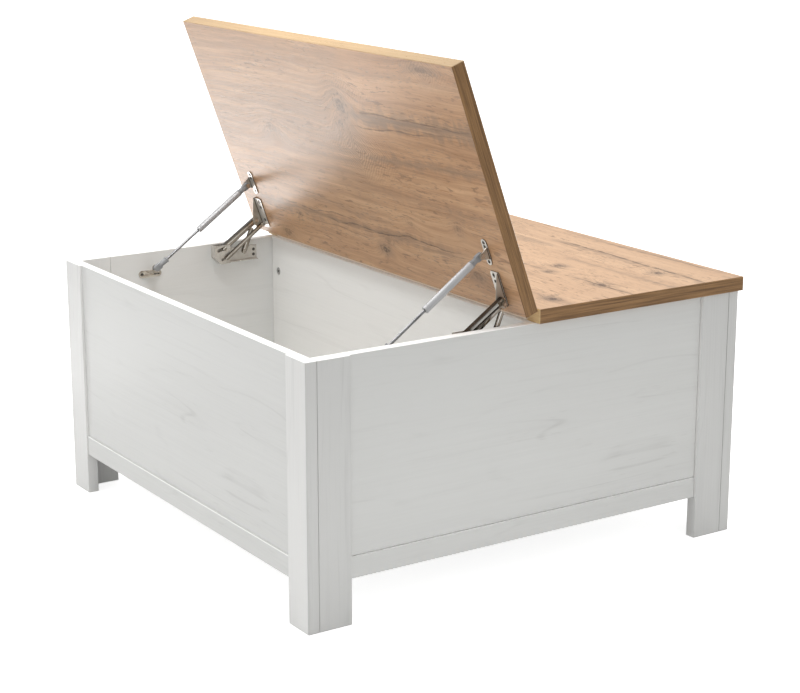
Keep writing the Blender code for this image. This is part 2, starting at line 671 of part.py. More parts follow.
def build_spring(name, side):
    """A closely wound spring lying in the upper arm's channel, between its pin and its far end."""
    upper_pin = swung(UPPER_PIN, LID_OPEN)
    along = bearing(upper_pin, UPPER_BASE)
    start = SPRING_FROM_PIN
    end = math.dist(upper_pin, UPPER_BASE) - SPRING_FROM_END
    turns = int((end - start) / SPRING_PITCH)
    middle = WEB_NEAR - FIT - SPRING_OUTER
    points = []
    for number in range(turns * SPRING_POINTS + 1):
        angle = 2 * math.pi * number / SPRING_POINTS
        reach = start + SPRING_PITCH * number / SPRING_POINTS
        aside = SPRING_COIL_RADIUS * math.cos(angle)
        y, z = moved(moved((0, 0), along, reach), along + math.pi / 2, aside)
        points.append(Vector((wall_x(side, middle + SPRING_COIL_RADIUS * math.sin(angle)), y, z)))
    curve = bpy.data.curves.new(f"{name}_spring", "CURVE")
    curve.dimensions = "3D"
    curve.bevel_depth = SPRING_WIRE / 2
    curve.bevel_resolution = 1
    curve.use_fill_caps = True
    spline = curve.splines.new("POLY")
    spline.points.add(len(points) - 1)
    for point, place in zip(spline.points, points):
        point.co = (*place, 1)
    spring = bpy.data.objects.new(f"{name}_spring", curve)
    bpy.context.collection.objects.link(spring)
    spring.location = (0, *upper_pin)
    finish_of(spring, SPRING_STEEL)
    print(f"{name}_spring: {turns} curls, least gap to itself {1000 * least_gap(points):.3f} mm")


def least_gap(points):
    """The least gap between a spring's wire and its next curls, measured from points to straight runs."""
    least = math.inf
    for number, point in enumerate(points):
        for start in range(number + SPRING_POINTS // 2, min(len(points) - 1, number + 3 * SPRING_POINTS)):
            near, share = intersect_point_line(point, points[start], points[start + 1])
            if share < 0:
                near = points[start]
            elif share > 1:
                near = points[start + 1]
            least = min(least, (point - near).length)
    return least - SPRING_WIRE


def eared(middle, level, fold):
    """The outline of a plate with round ears, and the ends of the fold on its lower edge."""
    reach = STRUT_BRACKET_HALF_LENGTH - STRUT_BRACKET_HALF_WIDTH
    outline = bar((middle - reach, level), (middle + reach, level), STRUT_BRACKET_HALF_WIDTH)
    low = level - STRUT_BRACKET_HALF_WIDTH
    return outline + [(middle - fold, low), (middle + fold, low)]


def half_round(centre, radius, first, steps=8):
    """Half a circle of (y, z) points, from an angle on."""
    angles = [first + math.pi * step / steps for step in range(steps + 1)]
    return [(centre[0] + radius * math.cos(a), centre[1] + radius * math.sin(a)) for a in angles]


def build_strut_brackets(name, side, pivot):
    flange_depth = STRUT_FLANGE_NEAR + SHEET / 2
    flange_x = wall_x(side, flange_depth)
    screws = STRUT_BRACKET_HALF_LENGTH - STRUT_SCREW_FROM_END
    through_flange = (STRUT_FLANGE_NEAR - SHEET, STRUT_FLANGE_FAR + SHEET)

    # on the wall: a plate with two ears, folded out to a shelf and up to a tab
    y, z = STRUT_WALL_PIN
    plate_z = z - STRUT_BRACKET_HALF_WIDTH
    low = plate_z - STRUT_BRACKET_HALF_WIDTH
    plate_x = wall_x(side, BASE_NEAR + SHEET / 2)
    fold = STRUT_SHELF_HALF_LENGTH
    plate = [(plate_x, *point) for point in eared(y, plate_z, fold)]
    shelf = [(plate_x, y - fold, low), (plate_x, y + fold, low)]
    shelf += [(flange_x, y + fold, low), (flange_x, y - fold, low)]
    tab = [(flange_x, *point) for point in half_round((y, z), EYE_RADIUS, 0)]
    tab += [(flange_x, y - fold, low), (flange_x, y + fold, low)]
    wall = add(f"{name}_wall_bracket", folded([plate, shelf, tab]), NICKEL)
    thicken(wall)
    through = (BASE_NEAR - SHEET, BASE_FAR + SHEET)
    places = (-screws, screws - STRUT_SCREW_SPACING, screws)
    holes = [disc((y + place, plate_z), SCREW_HOLE_RADIUS) for place in places]
    combine(wall, "DIFFERENCE", [sheet(hole, side, *through) for hole in holes])
    rivet = (STRUT_FLANGE_NEAR - PIN_HEAD, flange_depth)
    combine(wall, "UNION", [sheet(disc((y, z), PIN_HEAD_RADIUS), side, *rivet)])

    # under the lid: a plate with two ears and a standing flange
    middle_y = STRUT_LID_PIN[0]
    level = LID_UNDERSIDE - FIT - SHEET / 2
    plate_depth = flange_depth + STRUT_BRACKET_HALF_WIDTH
    fold = STRUT_FLANGE_HALF_LENGTH
    plate = [(wall_x(side, across), place, level) for place, across in eared(middle_y, plate_depth, fold)]
    flange = [(flange_x, *point) for point in half_round(STRUT_LID_PIN, EYE_RADIUS, math.pi)]
    flange += [(flange_x, middle_y + fold, level), (flange_x, middle_y - fold, level)]
    bracket = add_on_lid(f"{name}_lid_bracket", folded([plate, flange]), NICKEL, pivot)
    thicken(bracket)
    cuts = [sheet(disc(STRUT_LID_PIN, STRUT_PIN_RADIUS + PIN_PLAY), side, *through_flange)]
    for place in (-screws, STRUT_SCREW_SPACING - screws, screws):
        cuts.append(screw_hole(side, plate_depth, middle_y + place))
    combine(bracket, "DIFFERENCE", [about(shape, POLE) for shape in cuts])

    # the pin through the flange and the strut's upper eye
    eye_far = STRUT_DEPTH + FITTING_HALF_WIDTH + FIT
    near_head = (STRUT_FLANGE_NEAR - FIT - PIN_HEAD, STRUT_FLANGE_NEAR - FIT)
    shaft = sheet(disc(STRUT_LID_PIN, STRUT_PIN_RADIUS), side, near_head[0], eye_far + FIT)
    pin = add_on_lid(f"{name}_lid_pin", shaft, NICKEL, pivot)
    heads = [near_head, (eye_far, eye_far + PIN_HEAD)]
    shapes = [sheet(disc(STRUT_LID_PIN, PIN_HEAD_RADIUS), side, *head) for head in heads]
    combine(pin, "UNION", [about(shape, POLE) for shape in shapes])


def build_strut(name, side):
    """The strut's own frame has its Z axis from the lid pin down to the wall pin."""
    lid_pin = swung(STRUT_LID_PIN, LID_OPEN)
    length = math.dist(lid_pin, STRUT_WALL_PIN)
    turn = math.atan2(lid_pin[0] - STRUT_WALL_PIN[0], STRUT_WALL_PIN[1] - lid_pin[1])
    place = (wall_x(side, STRUT_DEPTH), *lid_pin)
    end = STRUT_CLOSED_LENGTH - ROD_FITTING - STRUT_CLOSED_GAP
    band = end - CYLINDER_BAND
    bore_end = CYLINDER_FITTING + CYLINDER_FLOOR
    bore = ROD_RADIUS + PIN_PLAY
    cylinder = turned(
        [
            (0, CYLINDER_FITTING),
            (CYLINDER_RADIUS - CYLINDER_EDGE, CYLINDER_FITTING),
            (CYLINDER_RADIUS, CYLINDER_FITTING + CYLINDER_EDGE),
            (CYLINDER_RADIUS, band - CYLINDER_EDGE),
            (CYLINDER_RADIUS - CYLINDER_EDGE / 2, band),
            (CYLINDER_RADIUS, band + CYLINDER_EDGE),
            (CYLINDER_RADIUS, end - CYLINDER_EDGE),
            (CYLINDER_RADIUS - CYLINDER_EDGE, end),
            (bore, end),
            (bore, bore_end),
            (0, bore_end),
        ]
    )
    smooth(add(f"{name}_cylinder", cylinder, GREY_PAINT, place, turn))
    travel = length - STRUT_CLOSED_LENGTH
    rod_start = bore_end + ROD_END_ROOM + travel
    rod_end = length - ROD_FITTING
    rod = turned([(0, rod_start), (ROD_RADIUS, rod_start), (ROD_RADIUS, rod_end), (0, rod_end)])
    smooth(add(f"{name}_rod", rod, ROD_STEEL, place, turn))
    build_fitting(f"{name}_cylinder_end", side, place, turn, 0.0, CYLINDER_FITTING - FIT, STRUT_PIN_RADIUS)
    build_fitting(f"{name}_rod_end", side, place, turn, length, rod_end + FIT, None)


def build_fitting(name, side, place, turn, eye, end, bore):
    """A plastic end piece: a round neck from the tube's end to a flat eye, with a boss to the bracket."""
    way = 1 if end > eye else -1
    shoulder = eye + way * EYE_RADIUS
    collar = end - way * NECK_COLLAR
    neck = turned(
        [
            (0, end),
            (CYLINDER_RADIUS - CYLINDER_EDGE / 2, end),
            (CYLINDER_RADIUS - CYLINDER_EDGE / 2, collar),
            (NECK_RADIUS - CYLINDER_EDGE, collar - way * CYLINDER_EDGE / 2),
            (NECK_RADIUS - CYLINDER_EDGE, collar - way * CYLINDER_EDGE),
            (NECK_RADIUS, collar - way * CYLINDER_EDGE * 2),
            (NECK_RADIUS - CYLINDER_EDGE, shoulder),
            (0, shoulder),
        ]
    )
    fitting = add(name, neck, GREY_PLASTIC, place, turn)
    flat_eye = bar((0, eye), (0, shoulder + way * SHEET), EYE_RADIUS)
    tab = prism(flat_eye, -FITTING_HALF_WIDTH, FITTING_HALF_WIDTH)
    boss = prism(disc((0, eye), BOSS_RADIUS), side * (FITTING_HALF_WIDTH - SHEET), side * NECK_RADIUS)
    combine(fitting, "UNION", [tab, boss])
    if bore:
        hole = prism(disc((0, eye), bore + PIN_PLAY), -2 * FITTING_HALF_WIDTH, 2 * FITTING_HALF_WIDTH)
        combine(fitting, "DIFFERENCE", [hole])
    smooth(fitting)


def main():
    clear_scene()
    build_legs()
    build_panels()
    build_rails()
    build_inside()
    pivot = build_top()
    for side_name, side in SIDES:
        hinge = f"hinge_{side_name}"
        build_hinge_base(hinge, side)
        build_lid_bracket(hinge, side, pivot)
        build_hinge_pins(hinge, side, pivot)
        build_hinge_arms(hinge, side)
        build_spring(hinge, side)
        strut = f"strut_{side_name}"
        build_strut_brackets(strut, side, pivot)
        build_strut(strut, side)


main()
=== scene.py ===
# %% [markdown]
# # A storage coffee table with a lid that lifts
# The table is a square box of white-washed boards on four corner legs. Half of its oak top is a lid,
# which stands open on two sheet-metal hinges and two gas struts. The boards and the hardware come from
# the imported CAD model. This lesson gives them their finishes and adds the small things that hold them
# together: screws, rivets and the wall brackets of the struts.

# %% Load the frame
import math

import bmesh
import bpy
from mathutils import Matrix, Vector


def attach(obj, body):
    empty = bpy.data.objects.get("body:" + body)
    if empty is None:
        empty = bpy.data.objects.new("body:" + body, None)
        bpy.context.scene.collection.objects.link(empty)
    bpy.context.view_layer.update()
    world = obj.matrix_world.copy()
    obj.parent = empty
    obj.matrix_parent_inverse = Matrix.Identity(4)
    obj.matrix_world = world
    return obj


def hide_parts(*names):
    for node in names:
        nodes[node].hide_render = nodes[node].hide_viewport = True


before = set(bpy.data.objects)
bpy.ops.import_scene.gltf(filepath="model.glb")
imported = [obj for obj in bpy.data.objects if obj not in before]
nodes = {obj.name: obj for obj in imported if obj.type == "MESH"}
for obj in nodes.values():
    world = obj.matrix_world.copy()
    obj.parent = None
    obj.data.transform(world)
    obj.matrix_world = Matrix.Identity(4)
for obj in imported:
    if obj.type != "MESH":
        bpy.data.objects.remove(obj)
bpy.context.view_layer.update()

# %% [markdown]
# ## The camera
# The photograph looks down a little on one corner, from the right of the front, with a long lens, so
# that the box hardly tapers. A long lens from far off keeps these lines nearly parallel. The camera is
# pitched instead of shifted, because a shift would stay in every other view.

# %% Camera
LENS, SENSOR = 87.63, 36.0
EYE = (2.9162, -1.8943, 1.2282)
LOOK_DOWN, LOOK_ROUND = 14.766, 56.705
view = bpy.data.cameras.new("view")
view.lens = LENS
view.sensor_width = SENSOR
viewer = bpy.data.objects.new("view", view)
viewer.location = EYE
viewer.rotation_euler = (math.radians(90 - LOOK_DOWN), 0, math.radians(LOOK_ROUND))
bpy.context.scene.collection.objects.link(viewer)
bpy.context.scene.camera = viewer
print("camera:", view.lens, "mm lens")

# %% [markdown]
# ## Helpers for materials
# A shader is a tree of nodes. Adding a node, setting its values and joining its sockets takes many
# lines, so small helpers do it. The first adds any node, and the others use it for sums.

# %% Node helpers


def put(tree, kind, sockets=None, **settings):
    """Adds a node. A socket gets a plain value, or is joined to another node's output."""
    node = tree.nodes.new(kind)
    for key, value in settings.items():
        setattr(node, key, value)
    for key, value in (sockets or {}).items():
        if isinstance(value, bpy.types.NodeSocket):
            tree.links.new(value, node.inputs[key])
        else:
            node.inputs[key].default_value = value
    return node


def reckon(tree, operation, *values):
    """One step of arithmetic on values or sockets."""
    sockets = dict(enumerate(values))
    return put(tree, "ShaderNodeMath", sockets, operation=operation).outputs[0]


def steer(tree, operation, *vectors):
    """One step of arithmetic on vectors, part by part."""
    sockets = dict(enumerate(vectors))
    return put(tree, "ShaderNodeVectorMath", sockets, operation=operation).outputs[0]


def split(tree, vector):
    """The X, Y and Z of a vector."""
    return put(tree, "ShaderNodeSeparateXYZ", {0: vector}).outputs


print("node helpers ready")

# %% [markdown]
# Wood and metal are drawn with few means: a smooth step, which makes a soft-edged mask of any value,
# noise, plain or stretched, a scale of colours, and a colour laid over another through a mask.

# %% Pattern helpers


def between(tree, value, low, high, low_value=0.0, high_value=1.0):
    """A smooth step from one value to another, as the first one goes from low to high."""
    sockets = {"Value": value, "From Min": low, "From Max": high, "To Min": low_value, "To Max": high_value}
    return put(tree, "ShaderNodeMapRange", sockets, interpolation_type="SMOOTHSTEP").outputs[0]


def noise(tree, vector, scale, detail):
    """Noise that is alike in every direction, as a colour and as a value."""
    return put(tree, "ShaderNodeTexNoise", {"Vector": vector, "Scale": scale, "Detail": detail}).outputs


def line_noise(tree, place, scale, detail):
    """Noise along a line."""
    sockets = {"W": place, "Scale": scale, "Detail": detail}
    return put(tree, "ShaderNodeTexNoise", sockets, noise_dimensions="1D").outputs["Fac"]


def stretched_noise(tree, vector, stretch, detail, roughness=0.5, distortion=0.0):
    """Noise that is drawn out along the grain: a low stretch makes a long figure."""
    sockets = {
        "Vector": steer(tree, "MULTIPLY", vector, stretch),
        "Scale": 1.0,
        "Detail": detail,
        "Roughness": roughness,
        "Distortion": distortion,
    }
    return put(tree, "ShaderNodeTexNoise", sockets).outputs["Fac"]


def blend_colours(tree, factor, under, over):
    """Lays a colour over another one. The upper colour is a socket, or three plain parts."""
    if isinstance(over, tuple):
        over = (*over, 1.0)
    return put(tree, "ShaderNodeMix", {0: factor, 6: under, 7: over}, data_type="RGBA").outputs[2]


def ramp(tree, factor, stops):
    """Colours along a scale: each stop is a place and a colour."""
    node = put(tree, "ShaderNodeValToRGB", {"Fac": factor})
    elements = node.color_ramp.elements
    while len(elements) < len(stops):
        elements.new(0.5)
    for element, (place, colour) in zip(elements, stops):
        element.position = place
        element.color = (*colour, 1.0)
    return node.outputs["Color"]


print("pattern helpers ready")

# %% [markdown]
# A pattern that more than one material uses is a node group, which is built once and placed in each of
# them with its own values. Every material starts in the same way too: with its shader, and with the
# piece's own coordinates, turned so that the grain lies along X.

# %% Group and material helpers
VECTOR, NUMBER = "NodeSocketVector", "NodeSocketFloat"
STILL = (0.0, 0.0, 0.0)


def new_group(name, inputs, outputs):
    """A node group with named sockets, and its two end nodes."""
    group = bpy.data.node_groups.new(name, "ShaderNodeTree")
    for socket, kind in inputs.items():
        group.interface.new_socket(name=socket, in_out="INPUT", socket_type=kind)
    for socket, kind in outputs.items():
        group.interface.new_socket(name=socket, in_out="OUTPUT", socket_type=kind)
    return group, group.nodes.new("NodeGroupInput").outputs, group.nodes.new("NodeGroupOutput").inputs


def use(tree, group, **sockets):
    """Places a group in a tree, with its values, and gives its outputs."""
    return put(tree, "ShaderNodeGroup", sockets, node_tree=group).outputs


def new_material(name, turn=STILL, shift=STILL):
    """A material, its shader, and the piece's own coordinates turned so that the grain lies along X."""
    material = bpy.data.materials.new(name)
    material.use_nodes = True
    tree = material.node_tree
    shader = tree.nodes["Principled BSDF"]
    place = put(tree, "ShaderNodeTexCoord").outputs["Object"]
    sockets = {"Vector": place, "Rotation": turn, "Location": shift}
    grain = put(tree, "ShaderNodeMapping", sockets).outputs[0]
    return material, tree, shader, grain


def press(tree, shader, height, distance):
    """Turns a height into small dents on the surface."""
    bump = put(tree, "ShaderNodeBump", {"Height": height, "Distance": distance, "Strength": 1.0})
    tree.links.new(bump.outputs[0], shader.inputs["Normal"])


print("group and material helpers ready")

# %% [markdown]
# ## White-washed pine
# The box is made of boards with a thin white wash: the wood's grain shows through as long, faint grey
# streaks, and a few short darker flecks. A photograph of a board could be wrapped on, but a solid
# pattern that is stretched along the grain fits every face of a board, also its ends, and never
# repeats. One group makes the pattern, and each direction of grain is a material of its own.

# %% Pine grain group
pine_grain, given, result = new_group(
    "pine_grain",
    {"Vector": VECTOR},
    {"Tone": NUMBER, "Height": NUMBER},
)
tree = pine_grain
drift = noise(tree, given["Vector"], 1.9, 1.5)["Color"]
drift = steer(tree, "SUBTRACT", drift, (0.5, 0.5, 0.5))
drift = steer(tree, "MULTIPLY", drift, (0.0, 0.060, 0.060))
wandering = steer(tree, "ADD", given["Vector"], drift)
swell = stretched_noise(tree, wandering, (0.9, 9.0, 9.0), 2.0, 0.45)
rings = reckon(tree, "PINGPONG", reckon(tree, "MULTIPLY", swell, 16.0), 1.0)
clouds = stretched_noise(tree, wandering, (1.6, 6.0, 6.0), 2.0)
haze = stretched_noise(tree, wandering, (2.0, 58.0, 58.0), 4.0, 0.6)
fibres = stretched_noise(tree, given["Vector"], (5.0, 320.0, 320.0), 3.0)
flecks = stretched_noise(tree, wandering, (20.0, 260.0, 260.0), 1.0)
patch = between(tree, clouds, 0.44, 0.62)
vein = reckon(tree, "MULTIPLY", between(tree, rings, 0.17, 0.0), between(tree, haze, 0.40, 0.62))
vein = reckon(tree, "MULTIPLY", vein, reckon(tree, "MULTIPLY_ADD", patch, 0.6, 0.4))
streak = between(tree, haze, 0.52, 0.74)
fleck = reckon(tree, "MULTIPLY", between(tree, flecks, 0.66, 0.75), patch)
fibre = reckon(tree, "SUBTRACT", fibres, 0.5)
tone = reckon(tree, "MULTIPLY_ADD", streak, -0.18, 0.90)
tone = reckon(tree, "MULTIPLY_ADD", vein, -0.36, tone)
tone = reckon(tree, "MULTIPLY_ADD", reckon(tree, "SUBTRACT", clouds, 0.5), -0.5, tone)
tone = reckon(tree, "MULTIPLY_ADD", fibre, -0.32, tone)
tone = reckon(tree, "MULTIPLY_ADD", fleck, -0.20, tone)
tree.links.new(tone, result["Tone"])
height = reckon(tree, "MULTIPLY_ADD", fleck, -0.6, reckon(tree, "MULTIPLY_ADD", vein, -0.25, fibre))
tree.links.new(height, result["Height"])
print("group:", pine_grain.name, len(pine_grain.nodes), "nodes")

# %% [markdown]
# Where two boards meet, dust and shadow draw a thin dark line. The gap itself is too narrow to show, so
# a second group darkens the boards close to the plane of the joint. The same group also gives lines of
# painted light: a painted highlight on the upper edge of the front and back rails, and pale paint in the
# groove over the side rails that lightens its shade.

# %% Joint line group
joint_line, given, result = new_group(
    "joint_line",
    {"Distance": NUMBER, "Place": NUMBER, "Width": NUMBER},
    {"Mask": NUMBER},
)
away = reckon(joint_line, "SUBTRACT", reckon(joint_line, "ABSOLUTE", given["Distance"]), given["Place"])
away = reckon(joint_line, "ABSOLUTE", away)
joint_line.links.new(between(joint_line, away, given["Width"], 0.0), result["Mask"])
print("group:", joint_line.name)

# %% [markdown]
# The long panels, the sides, the faces and flanks of the legs, and the inside of the box each have a grey
# and a pale tone. They are lit and shaded copies of one wash: the sides and the flanks of the legs are
# darker as painted shade, and the inside of the box is paler as painted light. The nearly white tone is
# painted light on the rim and along the rails. The faces of a board are told apart by their place, so the
# places are listed here too.

# %% Pine tones and places
# Painted shade and light: the side and flank tones are darker, the inside tones are paler, and the edge
# tone is painted light.
PANEL_PALE = (0.685, 0.686, 0.667)
PANEL_GREY = (0.540, 0.538, 0.521)
SIDE_PALE = (0.575, 0.577, 0.560)
SIDE_GREY = (0.450, 0.448, 0.433)
FACE_PALE = (0.760, 0.757, 0.740)
FACE_GREY = (0.500, 0.497, 0.480)
FLANK_PALE = (0.545, 0.545, 0.531)
FLANK_GREY = (0.310, 0.308, 0.294)
PINE_INSIDE = (0.850, 0.847, 0.826)
INSIDE_GREY = (0.745, 0.742, 0.722)
SIDE_INSIDE = (0.745, 0.753, 0.741)
SIDE_INSIDE_GREY = (0.653, 0.660, 0.648)
PINE_PAINTED_LIGHT = (0.950, 0.950, 0.935)
INSIDE, INSIDE_FLOOR = 0.4236, 0.09
BOX_HALF = 0.444
LEG_JOINT, LEG_JOINT_LINE = 0.423, 0.0007
RAIL_EDGE, RAIL_LINE = 0.1133, 0.0013
GROOVE_FLOOR, GROOVE_ROOF, GROOVE_LINE = 0.1140, 0.1155, 0.0005
RIM, RIM_START, RIM_FULL = 0.448, 0.0012, 0.0006
EDGE_START, EDGE_FULL = 0.0012, 0.0004
print("box:", 2 * BOX_HALF, "wide, rim at", RIM)

# %% [markdown]
# The tones are laid on in the order in which they hide one another: the outside and the inside, then the
# flanks of the legs and the joint in each leg, then the painted light on the rail edges, the grooves and
# the rim.

# %% Pine of one direction


def near_plane(tree, distance, plane):
    """A mask of the face that lies in a plane, and of a hair's breadth behind it."""
    return between(tree, distance, plane - EDGE_START, plane - EDGE_FULL)


def make_pine(name, turn, tones, inside, painted_light_lines, joints=False):
    """Tones, outside and inside: grey, pale. Painted light lines: level, width."""
    material, tree, shader, grain = new_material(name, turn)
    figure = use(tree, pine_grain, Vector=grain)

    def washed(grey, pale):
        return ramp(tree, figure["Tone"], [(0.0, grey), (0.95, pale)])

    parts = split(tree, put(tree, "ShaderNodeTexCoord").outputs["Object"])
    reach = reckon(tree, "ABSOLUTE", parts["X"])
    within = reckon(tree, "LESS_THAN", reach, INSIDE)
    behind = reckon(tree, "LESS_THAN", reckon(tree, "ABSOLUTE", parts["Y"]), INSIDE)
    above = reckon(tree, "GREATER_THAN", parts["Z"], INSIDE_FLOOR)
    within = reckon(tree, "MULTIPLY", reckon(tree, "MULTIPLY", within, behind), above)
    # The inside of the box takes its own tones, paler than the outside: painted light.
    colour = blend_colours(tree, within, washed(*tones), washed(*inside))
    if joints:
        # The flanks of a leg take darker tones: painted shade.
        side = near_plane(tree, reach, BOX_HALF)
        colour = blend_colours(tree, side, colour, washed(FLANK_GREY, FLANK_PALE))
        joint = {"Distance": parts["Y"], "Place": LEG_JOINT, "Width": LEG_JOINT_LINE}
        colour = blend_colours(tree, use(tree, joint_line, **joint)["Mask"], colour, FLANK_GREY)
    # Painted light: nearly white lines on the rail edges and in the grooves.
    for level, width in painted_light_lines:
        line = use(tree, joint_line, Distance=parts["Z"], Place=level, Width=width)["Mask"]
        colour = blend_colours(tree, line, colour, PINE_PAINTED_LIGHT)
    # Painted highlight: the rim along the upper edges is laid over with the nearly white tone.
    rim = between(tree, parts["Z"], RIM - RIM_START, RIM - RIM_FULL)
    colour = blend_colours(tree, rim, colour, PINE_PAINTED_LIGHT)
    tree.links.new(colour, shader.inputs["Base Color"])
    tree.links.new(between(tree, figure["Tone"], 0.2, 1.0, 0.56, 0.44), shader.inputs["Roughness"])
    press(tree, shader, figure["Height"], 0.00025)
    return material


print("pine ready to be made")

# %% [markdown]
# A board's grain runs along it, so there is one pine for the pieces along the front and back, one for
# the sides, and one for the upright legs. The pine of the sides has darker tones: painted shade.

# %% Pine materials
ALONG_X = (0.0, 0.0, 0.0)
ALONG_Y = (0.0, 0.0, math.radians(-90))
UPRIGHT = (0.0, math.radians(90), 0.0)
panel_inside = (INSIDE_GREY, PINE_INSIDE)
side_inside = (SIDE_INSIDE_GREY, SIDE_INSIDE)
rail_lines = [(RAIL_EDGE, RAIL_LINE)]
groove_lines = [(GROOVE_FLOOR, GROOVE_LINE), (GROOVE_ROOF, GROOVE_LINE)]
pine_x = make_pine("white_pine_along_front", ALONG_X, (PANEL_GREY, PANEL_PALE), panel_inside, rail_lines)
pine_y = make_pine("white_pine_along_side", ALONG_Y, (SIDE_GREY, SIDE_PALE), side_inside, groove_lines)
pine_legs = make_pine("white_pine_upright", UPRIGHT, (FACE_GREY, FACE_PALE), side_inside, [], joints=True)
print("materials:", pine_x.name, pine_y.name, pine_legs.name)

# %% [markdown]
# ## Wild oak
# The top is oak with knots, cracks and a warm, uneven tone. Grain lines are the cut through a tree's
# rings, so they run straight along the board and bend round a knot. That is drawn the same way: each
# point gets a height, which rises across the board, and a knot adds a hill to it. Lines of equal height
# then close round the knot, as on a map.

# %% Knot group
knot, given, result = new_group(
    "knot",
    {"Vector": VECTOR, "Place": VECTOR, "Size": VECTOR},
    {"Hill": NUMBER, "Core": NUMBER, "Halo": NUMBER},
)
tree = knot
ragged = noise(tree, given["Vector"], 80.0, 5.0)["Color"]
ragged = steer(tree, "SUBTRACT", ragged, (0.5, 0.5, 0.5))
ragged = steer(tree, "MULTIPLY", ragged, (0.016, 0.012, 0.0))
place = steer(tree, "ADD", given["Vector"], ragged)
place = steer(tree, "SUBTRACT", place, given["Place"])
flat = steer(tree, "MULTIPLY", place, (1.0, 1.0, 0.0))
flat = steer(tree, "DIVIDE", flat, given["Size"])
reach = put(tree, "ShaderNodeVectorMath", {0: flat}, operation="LENGTH").outputs["Value"]
square = reckon(tree, "MULTIPLY", reach, reach)
hill = reckon(tree, "EXPONENT", reckon(tree, "MULTIPLY", square, -1.0))
tree.links.new(hill, result["Hill"])
checks = noise(tree, given["Vector"], 190.0, 4.0)["Fac"]
core = between(tree, checks, 0.36, 0.60, 0.30, 1.0)
core = reckon(tree, "MULTIPLY", between(tree, reach, 0.38, 0.24), core)
rim = between(tree, reckon(tree, "ABSOLUTE", reckon(tree, "SUBTRACT", reach, 0.52)), 0.12, 0.0)
rim = reckon(tree, "MULTIPLY", rim, between(tree, checks, 0.44, 0.64, 0.0, 0.8))
tree.links.new(reckon(tree, "MAXIMUM", core, rim), result["Core"])
tree.links.new(between(tree, reach, 1.35, 0.2), result["Halo"])
print("group:", knot.name, len(knot.nodes), "nodes")

# %% [markdown]
# A drying crack is a thin dark line that wanders a little as it follows the grain, and fades at its
# ends. The group measures how far a point is from such a line. A thin line swells and narrows like beads
# on a string, and a broad one is even, because the same group also gives the board its dark bands.

# %% Crack group
CRACK_SHAPE = ("Start", "End", "Level", "Lean", "Wave", "Width")
FADE_IN, FADE_OUT = 0.06, 0.09
BEADED, EVEN = 0.05, 0.15
crack, given, result = new_group(
    "crack",
    {"Vector": VECTOR, **dict.fromkeys(CRACK_SHAPE, NUMBER)},
    {"Mask": NUMBER},
)
tree = crack
parts = split(tree, given["Vector"])
along = reckon(tree, "MULTIPLY_ADD", given["Level"], 31.0, parts["X"])
wander = reckon(tree, "SUBTRACT", line_noise(tree, along, 9.0, 3.0), 0.5)
wander = reckon(tree, "MULTIPLY", wander, given["Wave"])
line = reckon(tree, "SUBTRACT", parts["X"], given["Start"])
line = reckon(tree, "MULTIPLY_ADD", line, given["Lean"], given["Level"])
away = reckon(tree, "SUBTRACT", parts["Y"], reckon(tree, "ADD", line, wander))
away = reckon(tree, "ABSOLUTE", away)
bead = between(tree, line_noise(tree, along, 42.0, 2.0), 0.25, 0.75, 0.35, 1.6)
evenness = between(tree, given["Width"], BEADED, EVEN)
bead = reckon(tree, "MULTIPLY_ADD", evenness, reckon(tree, "SUBTRACT", 1.0, bead), bead)
width = reckon(tree, "MULTIPLY", given["Width"], bead)
mask = between(tree, away, width, 0.0)
begin = reckon(tree, "ADD", given["Start"], FADE_IN)
mask = reckon(tree, "MULTIPLY", mask, between(tree, parts["X"], given["Start"], begin))
finish = reckon(tree, "SUBTRACT", given["End"], FADE_OUT)
mask = reckon(tree, "MULTIPLY", mask, between(tree, parts["X"], given["End"], finish))
tree.links.new(mask, result["Mask"])
print("group:", crack.name, len(crack.nodes), "nodes")

# %% [markdown]
# Between the knots and cracks, the board has soft bands of tone, fine fibres, and pores: short dark
# dashes along the grain, which oak shows on every face. Here and there are larger flecks in groups.

# %% Oak grain group
oak_grain, given, result = new_group(
    "oak_grain",
    {"Vector": VECTOR, "Hills": NUMBER},
    {"Bands": NUMBER, "Pores": NUMBER, "Flecks": NUMBER, "Fibres": NUMBER},
)
tree = oak_grain
drift = stretched_noise(tree, given["Vector"], (2.4, 9.0, 9.0), 2.0)
parts = split(tree, given["Vector"])
across = reckon(tree, "MULTIPLY_ADD", reckon(tree, "SUBTRACT", drift, 0.5), 0.034, parts["Y"])
across = reckon(tree, "ADD", across, given["Hills"])
flow = put(tree, "ShaderNodeCombineXYZ", {"X": parts["X"], "Y": across, "Z": parts["Z"]}).outputs[0]
broad = stretched_noise(tree, flow, (1.3, 17.0, 17.0), 3.0, 0.6)
fine = stretched_noise(tree, flow, (4.5, 130.0, 130.0), 6.0, 0.72)
fibres = stretched_noise(tree, flow, (20.0, 480.0, 480.0), 3.0, 0.6)
bands = reckon(tree, "MULTIPLY_ADD", fine, 0.62, reckon(tree, "MULTIPLY", broad, 0.46))
bands = reckon(tree, "MULTIPLY_ADD", reckon(tree, "SUBTRACT", fibres, 0.5), 0.22, bands)
tree.links.new(reckon(tree, "SUBTRACT", bands, 0.04), result["Bands"])
dashes = stretched_noise(tree, flow, (62.0, 430.0, 430.0), 1.0)
patches = stretched_noise(tree, flow, (5.0, 22.0, 22.0), 2.0)
pores = reckon(tree, "MULTIPLY", between(tree, dashes, 0.58, 0.68), between(tree, patches, 0.38, 0.60))
tree.links.new(pores, result["Pores"])
ticks = stretched_noise(tree, flow, (30.0, 150.0, 150.0), 3.0, 0.6, 0.4)
groups = stretched_noise(tree, flow, (4.0, 13.0, 13.0), 2.0)
flecks = reckon(tree, "MULTIPLY", between(tree, ticks, 0.575, 0.665), between(tree, groups, 0.42, 0.58))
